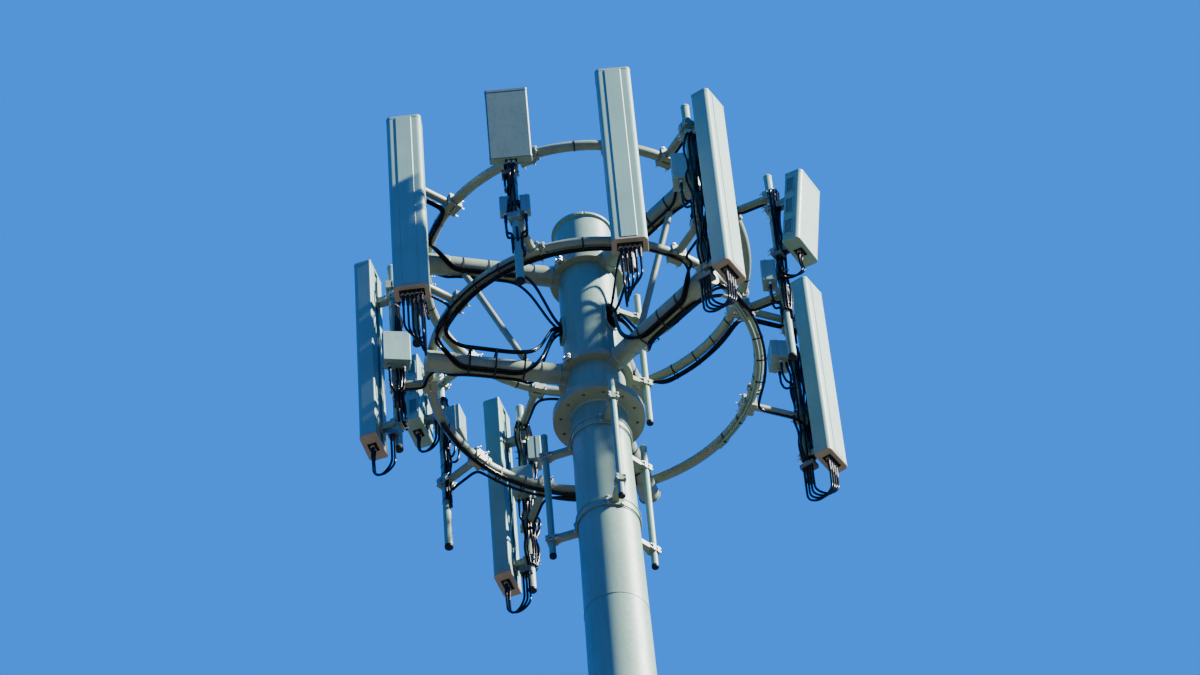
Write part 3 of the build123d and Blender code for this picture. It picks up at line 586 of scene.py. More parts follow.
def make_camera():
    """The photograph's viewpoint: near the ground, looking steeply up with a long lens."""
    pitch, roll, yaw = (math.radians(a) for a in (CAMERA_PITCH, CAMERA_ROLL, CAMERA_YAW))
    forward = Vector((math.sin(yaw) * math.cos(pitch), math.cos(yaw) * math.cos(pitch), math.sin(pitch)))
    level = Vector((math.cos(yaw), -math.sin(yaw), 0))
    upright = level.cross(forward)
    right = math.cos(roll) * level + math.sin(roll) * upright
    up = -math.sin(roll) * level + math.cos(roll) * upright
    data = bpy.data.cameras.new("photo_camera")
    data.sensor_width = SENSOR_WIDTH
    data.lens = FOCAL_LENGTH
    data.clip_end = 500
    camera = bpy.data.objects.new("photo_camera", data)
    turn = Matrix((right, up, -forward)).transposed().to_4x4()
    camera.matrix_world = Matrix.Translation(CAMERA_PLACE) @ turn
    bpy.context.scene.collection.objects.link(camera)
    bpy.context.scene.camera = camera


SUN_AZIMUTH = 345
SUN_ELEVATION = 33
SUN_BREADTH = 2.5
SUN_ENERGY = 30
SUN_COLOUR = (1.0, 0.97, 0.92)
SURROUND_COLOUR = (0.004, 0.215, 1.0)
SURROUND_STRENGTH = 1.25


def make_lights():
    """One soft key from the right and above, in an even sky-blue surround."""
    data = bpy.data.lights.new("key", "SUN")
    data.energy = SUN_ENERGY
    data.angle = math.radians(SUN_BREADTH)
    data.color = SUN_COLOUR
    key = bpy.data.objects.new("key", data)
    elevation = math.radians(SUN_ELEVATION)
    towards = polar(math.cos(elevation), SUN_AZIMUTH, math.sin(elevation))
    key.rotation_mode = "QUATERNION"
    key.rotation_quaternion = towards.to_track_quat("Z", "Y")
    bpy.context.scene.collection.objects.link(key)
    world = bpy.data.worlds.new("surround")
    world.use_nodes = True
    background = world.node_tree.nodes["Background"]
    background.inputs["Color"].default_value = (*SURROUND_COLOUR, 1)
    background.inputs["Strength"].default_value = SURROUND_STRENGTH
    bpy.context.scene.world = world


FLOOR_HALF_SIZE = 60
FLOOR_LEVEL = -0.001
APRON_END = 3
GROUND_START = 7
APRON_COLOUR = (0.42, 0.41, 0.38)
GROUND_COLOUR = (0.066, 0.06, 0.042)


def make_floor():
    """A plain pale floor: lightest round the base, a shade greyer beyond, which dims the undersides."""
    bm = bmesh.new()
    bmesh.ops.create_grid(bm, x_segments=1, y_segments=1, size=FLOOR_HALF_SIZE)
    mesh = bpy.data.meshes.new("floor")
    bm.to_mesh(mesh)
    bm.free()
    floor = bpy.data.objects.new("floor", mesh)
    floor.location.z = FLOOR_LEVEL
    s = Shader("floor_ground", 0.8)
    distance = s.node("ShaderNodeVectorMath")
    distance.operation = "LENGTH"
    s.link(s.place, distance.inputs[0])
    fade = s.spread(distance.outputs["Value"], APRON_END, GROUND_START, 0, 1)
    s.colour(s.mixed(fade, APRON_COLOUR, GROUND_COLOUR))
    mesh.materials.append(s.material)
    bpy.context.scene.collection.objects.link(floor)


make_camera()
make_lights()
make_floor()


# Jumper cables

JUMPER_START_GAP = 0.0006
JUMPER_END_GAP = 0.0003
SAG_ANGLE = 30
LONG_LEG = 2.4
CORNER_DRIFT = 0.4


def connector_places(antenna):
    half = (antenna.connectors - 1) / 2
    return [(n - half) * CONNECTOR_PITCH for n in range(antenna.connectors)]


def jumper_points(antenna, across):
    """A jumper's route: down out of the panel, round a hanging bend and up into its block."""
    start = -CONNECTOR_LENGTH - JUMPER_START_GAP
    finish = BLOCK_RISE - JUMPER_END_GAP
    lane = antenna.hand * across / CONNECTOR_PITCH
    end_x = BLOCK_SHIFT - PANEL_STAND_OFF - lane * BLOCK_PITCH
    end_y = antenna.hand * BLOCK_SIDE
    half = math.hypot(end_x, end_y - across) / 2
    sag = half * math.tan(math.radians(SAG_ANGLE))
    leg = antenna.loop + lane * JUMPER_NEST - sag
    drift = JUMPER_DRIFT * leg
    corner_run = math.hypot(half, sag)
    above = start - leg + corner_run
    leaving = [(0, across, start), (drift, across, start - 0.35 * leg)]
    hanging = [
        (0, across, start - leg),
        (end_x / 2, (across + end_y) / 2, start - leg - sag),
        (end_x, end_y, start - leg),
    ]
    if leg > LONG_LEG * corner_run:
        hanging.insert(0, (CORNER_DRIFT * drift, across, above))
    else:
        leaving[1] = (drift, across, above)
    hanging += [(end_x - CORNER_DRIFT * drift, end_y, above), (end_x, end_y, finish)]
    upright = frame_at(pipe_point(antenna, panel_bottom(antenna)), antenna.facing)
    upright = upright @ Matrix.Translation((PANEL_STAND_OFF, 0, 0))
    return [panel_frame(antenna) @ Vector(p) for p in leaving] + [upright @ Vector(p) for p in hanging]


def make_jumpers():
    for antenna in ANTENNAS:
        for index, across in enumerate(connector_places(antenna), start=1):
            points = jumper_points(antenna, across)
            lead = cable(f"jumper_{antenna.number}_{index}", points, JUMPER_RADIUS, JUMPER_RESOLUTION)
            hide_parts(f"{antenna.sector}_jumpers")
            line_length(smooth_line(points))


make_jumpers()


# Clamp bolts

Radio = namedtuple("Radio", "antenna side rise size grip", defaults=(0.076,))
RADIOS = (
    Radio(2, 180, 0.14, (0.076, 0.08, 0.19)),
    Radio(2, 0, 0.14, (0.076, 0.08, 0.19)),
    Radio(3, 0, 0.33, (0.09, 0.13, 0.28)),
    Radio(4, 180, 0.62, (0.12, 0.15, 0.3)),
    Radio(5, 180, 0.23, (0.11, 0.13, 0.24)),
    Radio(6, 190, 0.71, (0.15, 0.19, 0.2)),
    Radio(7, 280, 0.3, (0.11, 0.22, 0.34)),
    Radio(8, 345, 0.63, (0.12, 0.17, 0.3), 0.1),
    Radio(9, 0, 0.835, (0.11, 0.15, 0.27)),
    Radio(9, 262, 0.4, (0.11, 0.17, 0.3)),
)
Clamp = namedtuple("Clamp", "depth side rise diameter")
RING_CLAMP = Clamp(0.104, 0.042, 0.0455, 0.011)
PIPE_CLAMP = Clamp(0.092, 0.0395, 0.027, 0.01)
BRACKET_CLAMP = Clamp(0.084, 0.0395, 0.021, 0.009)
POLE_MOUNT_CLAMP = Clamp(0.07, 0.031, 0.018, 0.009)
PIPE_JAW_WIDTH = 0.096
BRACKET_JAW_WIDTH = 0.088
RADIO_JAW_WIDTH = 0.076
RADIO_JAW_GAP = 0.001
RADIO_BOLT_SIDE = 0.0345
POLE_MOUNT_REACH = 0.44
POLE_MOUNT_RADIUS = 0.025
POLE_MOUNT_AZIMUTHS = (285, 45, 165)
POLE_TOP = FLANGE_BOTTOM
POLE_BANDS = (POLE_TOP - 0.23, POLE_TOP - 1.13)
STUB_BRACKETS = (LOWER_RING + 0.02, LOWER_RING + 0.78)
Mount = namedtuple("Mount", "azimuth bottom top brackets")
MOUNTS = [Mount(azimuth, POLE_TOP - 1.3, POLE_TOP, POLE_BANDS) for azimuth in POLE_MOUNT_AZIMUTHS]
MOUNTS.append(Mount(30.4, LOWER_RING - 0.42, LOWER_RING + 1.05, STUB_BRACKETS))


def jaw_bolts(bm, matrix, clamp):
    """Bolts through a split clamp, whose depth runs along the matrix's X."""
    for y in (-clamp.side, clamp.side):
        for z in (-clamp.rise, clamp.rise):
            bolt(bm, matrix, (0, y, z), (clamp.depth, 0, 0), clamp.diameter)


def radio_frame(radio):
    antenna = ANTENNAS[radio.antenna - 1]
    return frame_at(pipe_point(antenna, LOWER_RING + radio.rise), radio.side)


def make_clamp_bolts():
    ring_bolts, pipe_bolts, small_bolts = bmesh.new(), bmesh.new(), bmesh.new()
    for antenna in ANTENNAS:
        for ring in RINGS:
            at_ring = polar(RING_RADIUS, antenna.azimuth, ring)
            jaw_bolts(ring_bolts, frame_at(at_ring, antenna.azimuth), RING_CLAMP)
            jaw_bolts(pipe_bolts, frame_at(pipe_point(antenna, ring), antenna.azimuth), PIPE_CLAMP)
        for height in bracket_heights(antenna):
            jaw_bolts(pipe_bolts, frame_at(pipe_point(antenna, height), antenna.facing), BRACKET_CLAMP)
    for radio in RADIOS:
        clamp = Clamp(radio.grip - RADIO_JAW_GAP, RADIO_BOLT_SIDE, 0, 0.008)
        jaw_bolts(small_bolts, radio_frame(radio), clamp)
    for mount in MOUNTS:
        for height in mount.brackets:
            at_mount = frame_at(polar(POLE_MOUNT_REACH, mount.azimuth, height), mount.azimuth)
            jaw_bolts(small_bolts, at_mount, POLE_MOUNT_CLAMP)
    piece("ring_clamp_bolts", ring_bolts, zinc)
    piece("pipe_clamp_bolts", pipe_bolts, zinc)
    piece("small_clamp_bolts", small_bolts, zinc)


# Bolts of the rings, collars, pole bands and base

RING_JOINTS = (16.3, 136.3, 256.3)
RING_JOINT_BOLTS = 6
RING_JOINT_CIRCLE = 0.0485
RING_JOINT_GRIP = 0.026
COLLAR_EAR_AZIMUTH = 230
COLLAR_EAR_REACH = 0.306
COLLAR_EAR_GRIP = 0.038
COLLAR_BOLT_RISE = 0.015
ROD_RADII = (0.2296, 0.2384)
ROD_RISES = (-0.034, 0.034)
ROD_POINTS = 24
ROD_THICKNESS = 0.01
ROD_NUT_RADII = (0.236, 0.246)
ROD_NUT_TURN = 12.5
BASE_BOLT_CIRCLE = 0.578635
BASE_BOLT_COUNT = 16
PLATE_WASHER = 0.008
NUT_PITCH = 0.036
BASE_PLATE_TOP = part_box("base_plate")[1][2]


def make_joint_bolts():
    """Bolts round the rings' flanged joints, and the pairs that draw the collars' ears together."""
    bm = bmesh.new()
    for ring in RINGS:
        for azimuth in RING_JOINTS:
            at_joint = frame_at(polar(RING_RADIUS, azimuth, ring), azimuth)
            for n in range(RING_JOINT_BOLTS):
                spot = polar(RING_JOINT_CIRCLE, 360 / RING_JOINT_BOLTS * n + 30, 0)
                bolt(bm, at_joint, (spot.x, 0, spot.y), (0, RING_JOINT_GRIP, 0), 0.009, 0.008)
        ears = frame_at(polar(COLLAR_EAR_REACH, COLLAR_EAR_AZIMUTH, ring - ARM_DROP), COLLAR_EAR_AZIMUTH)
        for z in (-COLLAR_BOLT_RISE, COLLAR_BOLT_RISE):
            bolt(bm, ears, (0.002, 0, z), (0, COLLAR_EAR_GRIP, 0), 0.012)
    piece("joint_bolts", bm, zinc)


def make_pole_rods():
    """Threaded rods round the pole that draw the short pipes' brackets against it."""
    bm = bmesh.new()
    for height, radius in zip(POLE_BANDS, ROD_NUT_RADII):
        for mount in POLE_MOUNT_AZIMUTHS:
            for azimuth in (mount - ROD_NUT_TURN, mount + ROD_NUT_TURN):
                for rise in ROD_RISES:
                    place = polar(radius, azimuth, height + rise)
                    hexagon(bm, along(place, polar(1, azimuth, 0)), 0.019, 0.011)
    piece("pole_band_nuts", bm, zinc)
    step = 360 / ROD_POINTS
    for index, (height, radius) in enumerate(zip(POLE_BANDS, ROD_RADII), start=1):
        reach = radius / math.cos(math.radians(step / 2)) ** 0.5
        for level, rise in enumerate(ROD_RISES, start=1):
            points = [polar(reach, step * n, height + rise) for n in range(ROD_POINTS)]
            cable(f"pole_rod_{index}_{level}", points, ROD_THICKNESS / 2, 12, paint, 2, closed=True)


def make_anchor_bolts():
    """Anchor bolts up through the base plate, with a plate washer and two nuts on each."""
    bm = bmesh.new()
    shank = [(0, 0.002), (0.021, 0.002), (0.021, 0.166), (0.017, 0.17), (0, 0.17)]
    for n in range(BASE_BOLT_COUNT):
        place = polar(BASE_BOLT_CIRCLE, 360 / BASE_BOLT_COUNT * n, 0)
        lathe(bm, raised(place, 0), shank, 20)
        disc(bm, raised(place, BASE_PLATE_TOP), 0.042, PLATE_WASHER, 28)
        for rise in (PLATE_WASHER, PLATE_WASHER + NUT_PITCH):
            turn = Matrix.Rotation(draw.uniform(0, math.pi), 4, "Z")
            hexagon(bm, raised(place, BASE_PLATE_TOP + rise) @ turn, 0.065, 0.034)
    piece("anchor_bolts", bm, zinc)


# Welds and pipe caps

POLE_HEAD_RADIUS = 0.215
POLE_FOOT_RADIUS = 0.4687
COLLAR_FACE = 0.279
STAND_OFF_RADIUS = 0.03
BEAD_SECTIONS = 4
BEAD_HOLLOW = 0.85
CAP_LIP = 0.0022


def weld(bm, matrix, radius, bead, ripples):
    """A rippled fillet bead round a tube that runs along the matrix's Z."""
    rings = []
    for n in range(ripples):
        angle = 2 * math.pi * n / ripples
        size = bead * (1 + 0.16 * math.sin(n * 1.9) + draw.uniform(-0.1, 0.1))
        ring = []
        for m in range(BEAD_SECTIONS + 1):
            turn = math.pi / 2 * m / BEAD_SECTIONS
            r = radius + size * (1 - math.sin(turn)) ** BEAD_HOLLOW
            z = size * (1 - math.cos(turn)) ** BEAD_HOLLOW
            ring.append(bm.verts.new(matrix @ Vector((r * math.cos(angle), r * math.sin(angle), z))))
        rings.append(ring)
    for ring, following in zip(rings, rings[1:] + rings[:1]):
        for m in range(BEAD_SECTIONS):
            bm.faces.new((ring[m], following[m], following[m + 1], ring[m + 1]))


def make_welds():
    bm = bmesh.new()
    upright = Matrix.Translation
    downward = Matrix.Rotation(math.pi, 4, "X")
    weld(bm, upright((0, 0, FLANGE_TOP)), STUB_RADIUS, 0.011, 160)
    weld(bm, upright((0, 0, FLANGE_BOTTOM)) @ downward, POLE_HEAD_RADIUS, 0.011, 160)
    weld(bm, upright((0, 0, STUB_TOP)) @ downward, STUB_RADIUS, 0.008, 160)
    weld(bm, upright((0, 0, BASE_PLATE_TOP)), POLE_FOOT_RADIUS, 0.014, 220)
    for ring in RINGS:
        for azimuth in ARM_AZIMUTHS:
            out = polar(1, azimuth, 0)
            level = ring - ARM_DROP
            weld(bm, along(polar(SOCKET_END, azimuth, level), out), ARM_RADIUS, 0.007, 70)
            weld(bm, along(polar(SLEEVE_START, azimuth, level), -out), ARM_RADIUS, 0.006, 70)
            weld(bm, along(polar(COLLAR_FACE, azimuth, level), out), SLEEVE_RADIUS, 0.009, 70)
        for antenna in ANTENNAS:
            out = polar(1, antenna.azimuth, 0)
            start = polar(RING_RADIUS + RING_CLAMP.depth / 2, antenna.azimuth, ring)
            weld(bm, along(start, out), STAND_OFF_RADIUS, 0.006, 40)
            end = pipe_point(antenna, ring) - out * PIPE_CLAMP.depth / 2
            weld(bm, along(end, -out), STAND_OFF_RADIUS, 0.006, 40)
    piece("weld_beads", bm, paint, 60)


def make_pipe_caps():
    """Domed plastic caps in the tops of the pipes and flat rubber ones in their feet."""
    tops, feet = bmesh.new(), bmesh.new()
    ends = [(pipe_point(a, 0), PIPE_RADIUS, PIPE_BOTTOM, PIPE_TOP) for a in ANTENNAS]
    for mount in MOUNTS:
        place = polar(POLE_MOUNT_REACH, mount.azimuth, 0)
        ends.append((place, POLE_MOUNT_RADIUS, mount.bottom, mount.top))
    for place, radius, bottom, top in ends:
        rim = radius + CAP_LIP
        dome = [(0, -0.01), (rim, -0.01), (rim, 0.006), (rim * 0.86, 0.013), (rim * 0.5, 0.018), (0, 0.02)]
        lathe(tops, raised(place, top), dome, 32)
        flat = [(0, 0.012), (rim, 0.012), (rim, -0.006), (rim * 0.9, -0.01), (0, -0.011)]
        lathe(feet, raised(place, bottom), flat, 32)
    piece("pipe_top_caps", tops, radome, 40)
    piece("pipe_foot_caps", feet, rubber_and_well_shade, 40)


# Cable harness on the pipes, stand-offs, rings and arms

CABLE_RADIUS = 0.0095
TRUNK_RADIUS = 0.011
RING_DROP = 0.0645
RING_LANE = 1.2725
LANE_PITCH = 0.0225
UNDER_ARM_ANGLES = (17, 32.5, 48)
CLEAR_OF_ARM = 5.5
ARC_START = 5
ARC_STEP = 6
TRUNK_SIDE = 30
KNOT_PITCH = (0.26, 0.38)
WANDER = 13
ARM_CABLE_SIDE = 0.122
ARM_CABLE_DROP = 0.066
TIE_GAP = 0.0004
TIE_THICKNESS = 0.0016
TIE_SAMPLES = 20


def block_reach(side, azimuth, depth, width):
    """How far a block centred on a pipe reaches from the pipe's axis towards a side."""
    angle = math.radians(side - azimuth)
    along_depth = depth / 2 / max(abs(math.cos(angle)), 0.001)
    across = width / 2 / max(abs(math.sin(angle)), 0.001)
    return min(along_depth, across)


def pipe_clamps(antenna):
    """(height, half height, azimuth, depth, width) of each block on a mount pipe."""
    at_rings = (0.042, antenna.azimuth, PIPE_CLAMP.depth, PIPE_JAW_WIDTH)
    at_brackets = (0.035, antenna.facing, BRACKET_CLAMP.depth, BRACKET_JAW_WIDTH)
    blocks = [(ring, *at_rings) for ring in RINGS]
    blocks += [(height, *at_brackets) for height in bracket_heights(antenna)]
    for radio in RADIOS:
        if radio.antenna == antenna.number:
            blocks.append((LOWER_RING + radio.rise, 0.025, radio.side, radio.grip, RADIO_JAW_WIDTH))
    return blocks


def pipe_surface(antenna, side, height):
    """The reach of the pipe, or of the clamp at this height, from the pipe's axis towards a side."""
    reach = PIPE_RADIUS
    for place, half, azimuth, depth, width in pipe_clamps(antenna):
        if abs(height - place) < half + 0.02:
            reach = max(reach, block_reach(side, azimuth, depth, width) + 0.001)
    beside = math.cos(math.radians(side - antenna.facing - antenna.hand * 90))
    if abs(height - panel_bottom(antenna) - 0.028) < 0.04 and beside > 0.3:
        reach = max(reach, (BLOCK_SIDE + 2 * JUMPER_RADIUS) / beside)
    return reach


def turn_of(a, b, c):
    """Above 0 where the way from a through b to c turns left."""
    return (b[0] - a[0]) * (c[1] - a[1]) - (b[1] - a[1]) * (c[0] - a[0])


def hull_of(points):
    """The points that a strap round all of them touches, in order."""
    ordered = sorted(points)
    hull = []
    for run in (ordered, ordered[::-1]):
        chain = []
        for point in run:
            while len(chain) > 1 and turn_of(chain[-2], chain[-1], point) <= 0:
                chain.pop()
            chain.append(point)
        hull += chain[:-1]
    return hull


def on_pipe(antenna, side, height, clear):
    """A point beside a mount pipe, clear of its surface or of the clamp at this height."""
    return pipe_point(antenna, height) + polar(pipe_surface(antenna, side, height) + clear, side, 0)


def tie(bm, matrix, circles, width=0.009):
    """A strap pulled round several round bars: (u, v, radius) in the plane across the matrix's Z."""
    samples = []
    for u, v, radius in circles:
        samples += [(u + x, v + y) for x, y in circle(radius + TIE_GAP, TIE_SAMPLES)]
    hull = hull_of(samples)
    middle_u = sum(p[0] for p in hull) / len(hull)
    middle_v = sum(p[1] for p in hull) / len(hull)
    loops = []
    for grow, way in ((0, -1), (TIE_THICKNESS, -1), (TIE_THICKNESS, 1), (0, 1)):
        loop = []
        for u, v in hull:
            out = Vector((u - middle_u, v - middle_v))
            spread = 1 + grow / max(out.length, 0.001)
            spot = (middle_u + out.x * spread, middle_v + out.y * spread, way * width / 2)
            loop.append(bm.verts.new(matrix @ Vector(spot)))
        loops.append(loop)
    bridge(bm, loops)


Bundle = namedtuple("Bundle", "antenna side count bottom top slack")
BUNDLES = (
    Bundle(1, 345, 5, -0.45, 1.22, 0.03),
    Bundle(2, 245, 3, -0.05, 1.3, 0.02),
    Bundle(3, 330, 4, -0.6, 1.22, 0.03),
    Bundle(4, 325, 7, -0.6, 0.92, 0.07),
    Bundle(5, 305, 4, -0.3, 1.1, 0.02),
    Bundle(6, 300, 7, -0.6, 0.85, 0.055),
    Bundle(7, 350, 6, -0.55, 0.95, 0.04),
    Bundle(8, 300, 3, -0.3, 1.1, 0.03),
    Bundle(9, 325, 7, -0.55, 1.2, 0.05),
)


def bundle_sides(bundle):
    pitch = math.degrees(2 * CABLE_RADIUS / (PIPE_RADIUS + CABLE_RADIUS)) * 1.04
    return [bundle.side + (n - (bundle.count - 1) / 2) * pitch for n in range(bundle.count)]


def pipe_tie(bm, antenna, height, sides, slack):
    """A strap round a mount pipe and the cables on these sides of it."""
    circles = [(0, 0, PIPE_RADIUS)]
    for side in sides:
        spot = polar(PIPE_RADIUS + CABLE_RADIUS + slack, side, 0)
        circles.append((spot.x, spot.y, CABLE_RADIUS + slack))
    tie(bm, Matrix.Translation(pipe_point(antenna, height)), circles)


def make_pipe_bundles():
    """The cables that run up each mount pipe, over its clamps, slack between their ties."""
    ties = bmesh.new()
    for bundle in BUNDLES:
        antenna = ANTENNAS[bundle.antenna - 1]
        sides = bundle_sides(bundle)
        knots = [bundle.bottom + 0.08]
        while knots[-1] < bundle.top - 0.2:
            knots.append(knots[-1] + draw.uniform(*KNOT_PITCH))
        heights = [LOWER_RING + knot for knot in knots]
        for index, side in enumerate(sides, start=1):
            points = []
            for height, following in zip(heights, heights[1:]):
                points.append(on_pipe(antenna, side, height, CABLE_RADIUS + 0.001))
                wander = side + draw.uniform(-WANDER, WANDER)
                slack = draw.uniform(0.3, 1) * bundle.slack
                points.append(on_pipe(antenna, wander, (height + following) / 2, CABLE_RADIUS + slack))
            top = heights[-1]
            points.append(on_pipe(antenna, side, top, CABLE_RADIUS))
            end_side = bundle.side + 60
            last = pipe_surface(antenna, end_side, top) + CABLE_RADIUS
            points.append(pipe_point(antenna, top + 0.045) + polar(last + 0.008, side + 25, 0))
            points.append(pipe_point(antenna, top - 0.01) + polar(last, end_side, 0))
            cable(f"pipe_cable_{antenna.number}_{index}", points, CABLE_RADIUS, 4)
        for height in heights:
            if max(pipe_surface(antenna, side, height) for side in sides) < PIPE_RADIUS + 0.001:
                pipe_tie(ties, antenna, height, sides, 0.0015)
    piece("pipe_cable_ties", ties, rubber_and_well_shade, 40)


Trunk = namedtuple("Trunk", "antenna arm lane ring")
LOWER_TRUNKS = (
    (1, 195, 0),
    (2, 195, 1),
    (3, 315, 0),
    (4, 315, 1),
    (5, 315, 0),
    (6, 315, 1),
    (7, 195, 0),
    (9, 75, 0),
    (8, 75, 1),
)
UPPER_TRUNKS = (
    (1, 195, 0),
    (1, 195, 1),
    (7, 195, 0),
    (4, 315, 0),
    (5, 315, 0),
    (6, 75, 0),
    (6, 75, 1),
    (9, 75, 0),
)
TRUNKS = [Trunk(*row, LOWER_RING) for row in LOWER_TRUNKS]
TRUNKS += [Trunk(*row, UPPER_RING) for row in UPPER_TRUNKS]
LOWER_ENTRY = (
    (0.5, 0.086, -0.155),
    (0.445, 0.109, -0.09),
    (0.4, 0.1, 0.02),
    (0.355, 0.07, 0.18),
    (0.305, 0.04, 0.33),
    (0.24, 0.02, 0.4),
    (0.17, 0.014, 0.41),
)
UPPER_ENTRY = (
    (0.5, 0.062, -0.2),
    (0.43, 0.06, -0.3),
    (0.37, 0.05, -0.45),
    (0.3, 0.034, -0.63),
    (0.24, 0.018, -0.72),
    (0.17, 0.012, -0.74),
)


def under_arm(lane, clear=0.001):
    """Where a trunk cable lies against the underside of an arm: across it, and from the ring's height."""
    angle = math.radians(UNDER_ARM_ANGLES[lane])
    reach = ARM_RADIUS + TRUNK_RADIUS + clear
    return reach * math.sin(angle), -ARM_DROP - reach * math.cos(angle)


def bearing(azimuth, origin):
    """The turn from the origin's azimuth, from -180 to 180 degrees."""
    return (azimuth - origin + 180) % 360 - 180


def away_from_arm(trunk):
    """How far round the ring a trunk's mount pipe stands from its arm."""
    return bearing(ANTENNAS[trunk.antenna - 1].azimuth, trunk.arm)


def trunk_points(trunk):
    """From the mount pipe under the stand-off, round under the ring, in beside the arm to the port."""
    antenna = ANTENNAS[trunk.antenna - 1]
    under_ring = trunk.ring - RING_DROP
    side = BUNDLES[trunk.antenna - 1].side + TRUNK_SIDE
    points = []
    for rise in (-0.3, -0.22, -0.14):
        points.append(on_pipe(antenna, side, trunk.ring + rise, TRUNK_RADIUS))
    away = away_from_arm(trunk)
    shift = math.copysign(1, away)
    for share in (0.86, 0.5, 0.16):
        reach = RING_RADIUS + antenna.reach * share
        sway = math.degrees(0.024 * (trunk.lane + 0.5) / reach) * shift
        points.append(polar(reach, antenna.azimuth - sway, under_ring - 0.004))
    travelled = abs(away) - ARC_START
    while travelled > CLEAR_OF_ARM:
        reach = RING_LANE + LANE_PITCH * trunk.lane + draw.uniform(-0.002, 0.002)
        height = under_ring - draw.uniform(0, 0.003)
        points.append(polar(reach, trunk.arm + travelled * shift, height))
        travelled -= ARC_STEP
    arm = frame_at((0, 0, trunk.ring), trunk.arm)
    stack = LANE_PITCH * trunk.lane
    points.append(arm @ Vector((1.2, shift * (0.108 + stack), -RING_DROP - 0.012)))
    y, z = under_arm(trunk.lane, 0.012)
    points.append(arm @ Vector((1.1, shift * (y + 0.035), z + 0.025)))
    for x, clear in ((1.03, 0.008), (0.9, 0.001), (0.74, 0.001), (0.58, 0.001)):
        y, z = under_arm(trunk.lane, clear)
        points.append(arm @ Vector((x, shift * y, z)))
    for x, y, z in LOWER_ENTRY if trunk.ring == LOWER_RING else UPPER_ENTRY:
        points.append(arm @ Vector((x, shift * (y + 0.4 * stack), z - stack)))
    return points


def make_trunks():
    for index, trunk in enumerate(TRUNKS, start=1):
        cable(f"trunk_cable_{index}", trunk_points(trunk), TRUNK_RADIUS, 4)


def held_under_ring(ring, azimuth):
    """The cables that a strap round the ring holds at an azimuth, as circles for tie()."""
    circles = []
    for trunk in TRUNKS:
        here = bearing(azimuth, trunk.arm)
        reach = away_from_arm(trunk)
        if trunk.ring == ring and here * reach > 0 and 8 < abs(here) < abs(reach):
            circles.append((RING_LANE + LANE_PITCH * trunk.lane, -RING_DROP - 0.0015, TRUNK_RADIUS))
    if ring == LOWER_RING and any(14 < (azimuth - arm) % 360 < 86 for arm in ARM_AZIMUTHS):
        for lane in (0, 1):
            reach = RING_RADIUS - RING_CABLE_PITCH * lane
            circles.append((reach, -RING_CABLE_DROP, RING_CABLE_RADIUS))
    return circles


def held_along_arm(ring, azimuth):
    """The cables that a strap round an arm holds, as circles for tie()."""
    circles = []
    for trunk in TRUNKS:
        if trunk.ring == ring and trunk.arm == azimuth:
            y, z = under_arm(trunk.lane)
            circles.append((math.copysign(y, away_from_arm(trunk)), z, TRUNK_RADIUS))
    if ring == LOWER_RING:
        for lane in (0, 1):
            circles.append((ARM_CABLE_SIDE + RING_CABLE_PITCH * lane, -ARM_CABLE_DROP, RING_CABLE_RADIUS))
    return circles


def make_member_ties():
    """Straps round the rings and arms with the cables that they hold."""
    ties = bmesh.new()
    upended = Matrix.Rotation(math.pi / 2, 4, "X")
    for ring in RINGS:
        for azimuth in range(0, 360, 10):
            if any(abs(bearing(azimuth, a)) < 6 for a in ARM_AZIMUTHS + RING_JOINTS):
                continue
            if any(abs(bearing(azimuth, a.azimuth)) < 4 for a in ANTENNAS):
                continue
            held = held_under_ring(ring, azimuth)
            if not held and draw.random() < 0.6:
                continue
            across = frame_at((0, 0, ring), azimuth) @ upended
            tie(ties, across, [(RING_RADIUS, 0, RING_TUBE), *held], 0.012)
        for azimuth in ARM_AZIMUTHS:
            for reach in (0.56, 0.78, 0.98):
                across = frame_at(polar(reach, azimuth, ring), azimuth + 90) @ upended
                tie(ties, across, [(0, -ARM_DROP, ARM_RADIUS), *held_along_arm(ring, azimuth)], 0.014)
    piece("member_cable_ties", ties, rubber_and_well_shade, 40)


# Connectors, boots, glands and radio leads

BOOT_LENGTHS = {"large": 0.11, "small": 0.05, "thin": 0.05}
RADIO_LEAD_TURNS = (-26, 26)


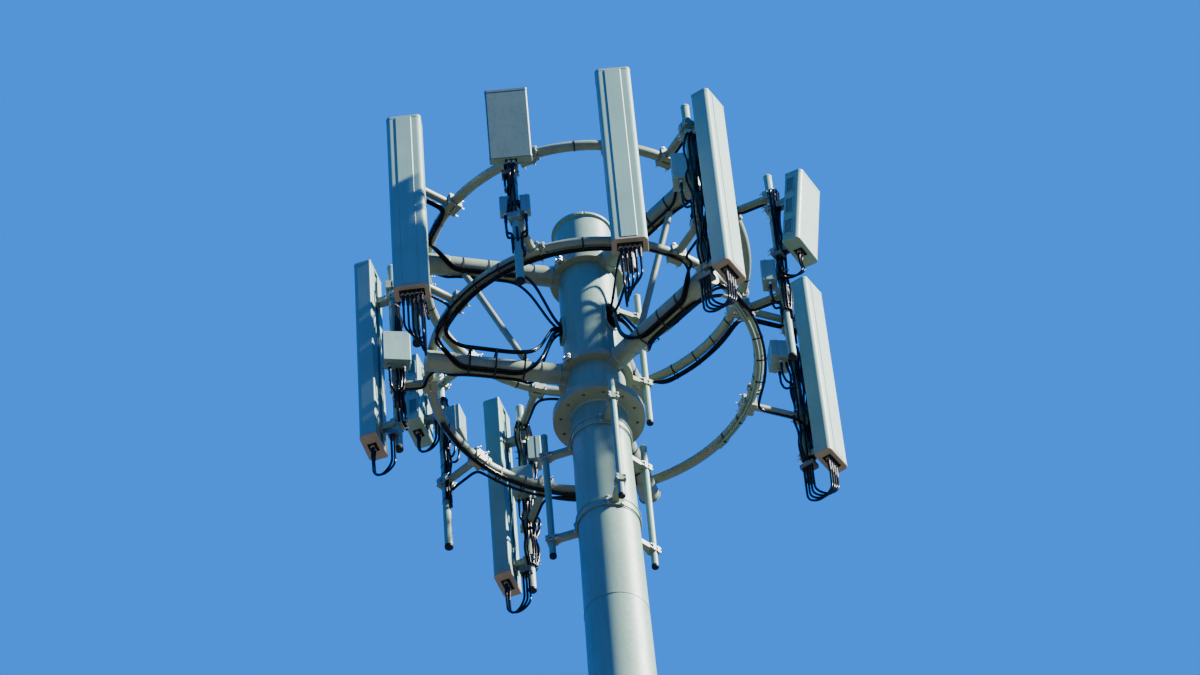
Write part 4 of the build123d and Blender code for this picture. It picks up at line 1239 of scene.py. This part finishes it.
def make_connectors():
    """Nuts and boots on the panels' and radios' connectors, glands and the ring cables' end sleeves."""
    nuts, boots, painted = bmesh.new(), bmesh.new(), bmesh.new()
    gland = [(0, -0.001), (0.0112, -0.001), (0.0112, 0.016), (0.0092, 0.02), (0.0092, 0.034), (0, 0.034)]
    radio_boot = [(0, -0.002), (0.0128, -0.002), (0.0128, 0.026), (0.009, 0.04), (0, 0.04)]
    sleeve = [(0, -0.05), (0.0105, -0.05), (0.0112, -0.044), (0.0112, 0.006), (0.007, 0.02), (0, 0.022)]
    for antenna in ANTENNAS:
        panel = panel_frame(antenna)
        reach = BOOT_LENGTHS[antenna.size]
        boot = [(0, 0), (0.0148, 0), (0.0148, 0.03), (0.0128, 0.036), (0.0122, reach - 0.012)]
        boot += [(0.0094, reach), (0, reach)]
        for across in connector_places(antenna):
            points = jumper_points(antenna, across)
            hexagon(nuts, panel @ Matrix.Translation((0, across, -0.016)), 0.0315, 0.014)
            disc(nuts, panel @ Matrix.Translation((0, across, -CONNECTOR_LENGTH)), 0.0145, 0.012, 20)
            under = points[0] + panel.to_3x3() @ Vector((0, 0, 0.004))
            lathe(boots, along(under, points[1] - points[0]), boot, 20)
            lathe(boots, along(points[-1], points[-2] - points[-1]), gland, 20)
    for radio in RADIOS:
        for place in radio_connectors(radio):
            down = Matrix.Translation(place) @ Matrix.Rotation(math.pi, 4, "X")
            hexagon(nuts, down @ Matrix.Translation((0, 0, -0.022)), 0.0305, 0.012)
            lathe(boots, down, radio_boot, 20)
    for azimuth in ARM_AZIMUTHS:
        for lane in (0, 1):
            reach = RING_RADIUS - RING_CABLE_PITCH * lane
            far_end = polar(reach, azimuth + RING_CABLE_SPAN, LOWER_RING - RING_CABLE_DROP)
            outward = along(far_end, polar(1, azimuth + RING_CABLE_SPAN + 90, 0))
            lathe(painted if azimuth == PAINTED_ARM else boots, outward, sleeve, 20)
    piece("painted_cable_sleeves", painted, paint, 40)
    piece("connector_nuts", nuts, nickel)
    piece("connector_boots", boots, rubber_and_well_shade, 40)


def radio_connectors(radio):
    """The lower ends of a radio's two connectors."""
    depth, width, length = radio.size
    middle = radio_frame(radio) @ Matrix.Translation(((radio.grip + depth) / 2, 0, 0))
    bottom = -length / 2 - CONNECTOR_LENGTH
    return [middle @ Vector((0, side * width / 4, bottom)) for side in (-1, 1)]


def make_radio_leads():
    """Short leads from the radios' connectors in to the pipe, and down along it to a tie."""
    ties = bmesh.new()
    for number, radio in enumerate(RADIOS, start=1):
        antenna = ANTENNAS[radio.antenna - 1]
        sides = [radio.side + turn for turn in RADIO_LEAD_TURNS]
        places = radio_connectors(radio)
        for index, (place, side) in enumerate(zip(places, sides), start=1):
            lead = [place - Vector((0, 0, drop)) for drop in (0, 0.06, 0.13)]
            first = lead[-1].z - 0.05
            reach = pipe_surface(antenna, side, first) + CABLE_RADIUS
            gap = pipe_point(antenna, first - 0.03) + polar(reach + 0.03, side, 0)
            lead.append((lead[-1] + gap) / 2 - Vector((0, 0, 0.035)))
            for drop in (0.02, 0.08, 0.14, 0.2):
                lead.append(on_pipe(antenna, side, first - drop, CABLE_RADIUS))
            cable(f"radio_lead_{number}_{index}", lead, CABLE_RADIUS, 6)
        height = places[0].z - 0.27
        if pipe_surface(antenna, radio.side, height) < PIPE_RADIUS + 0.001:
            pipe_tie(ties, antenna, height, sides, 0)
    piece("radio_lead_ties", ties, rubber_and_well_shade, 40)


make_radome_faces()
make_side_pockets()
make_clamp_bolts()
make_joint_bolts()
make_pole_rods()
make_anchor_bolts()
make_welds()
make_pipe_caps()
make_pipe_bundles()
make_trunks()
make_member_ties()
make_connectors()
make_radio_leads()
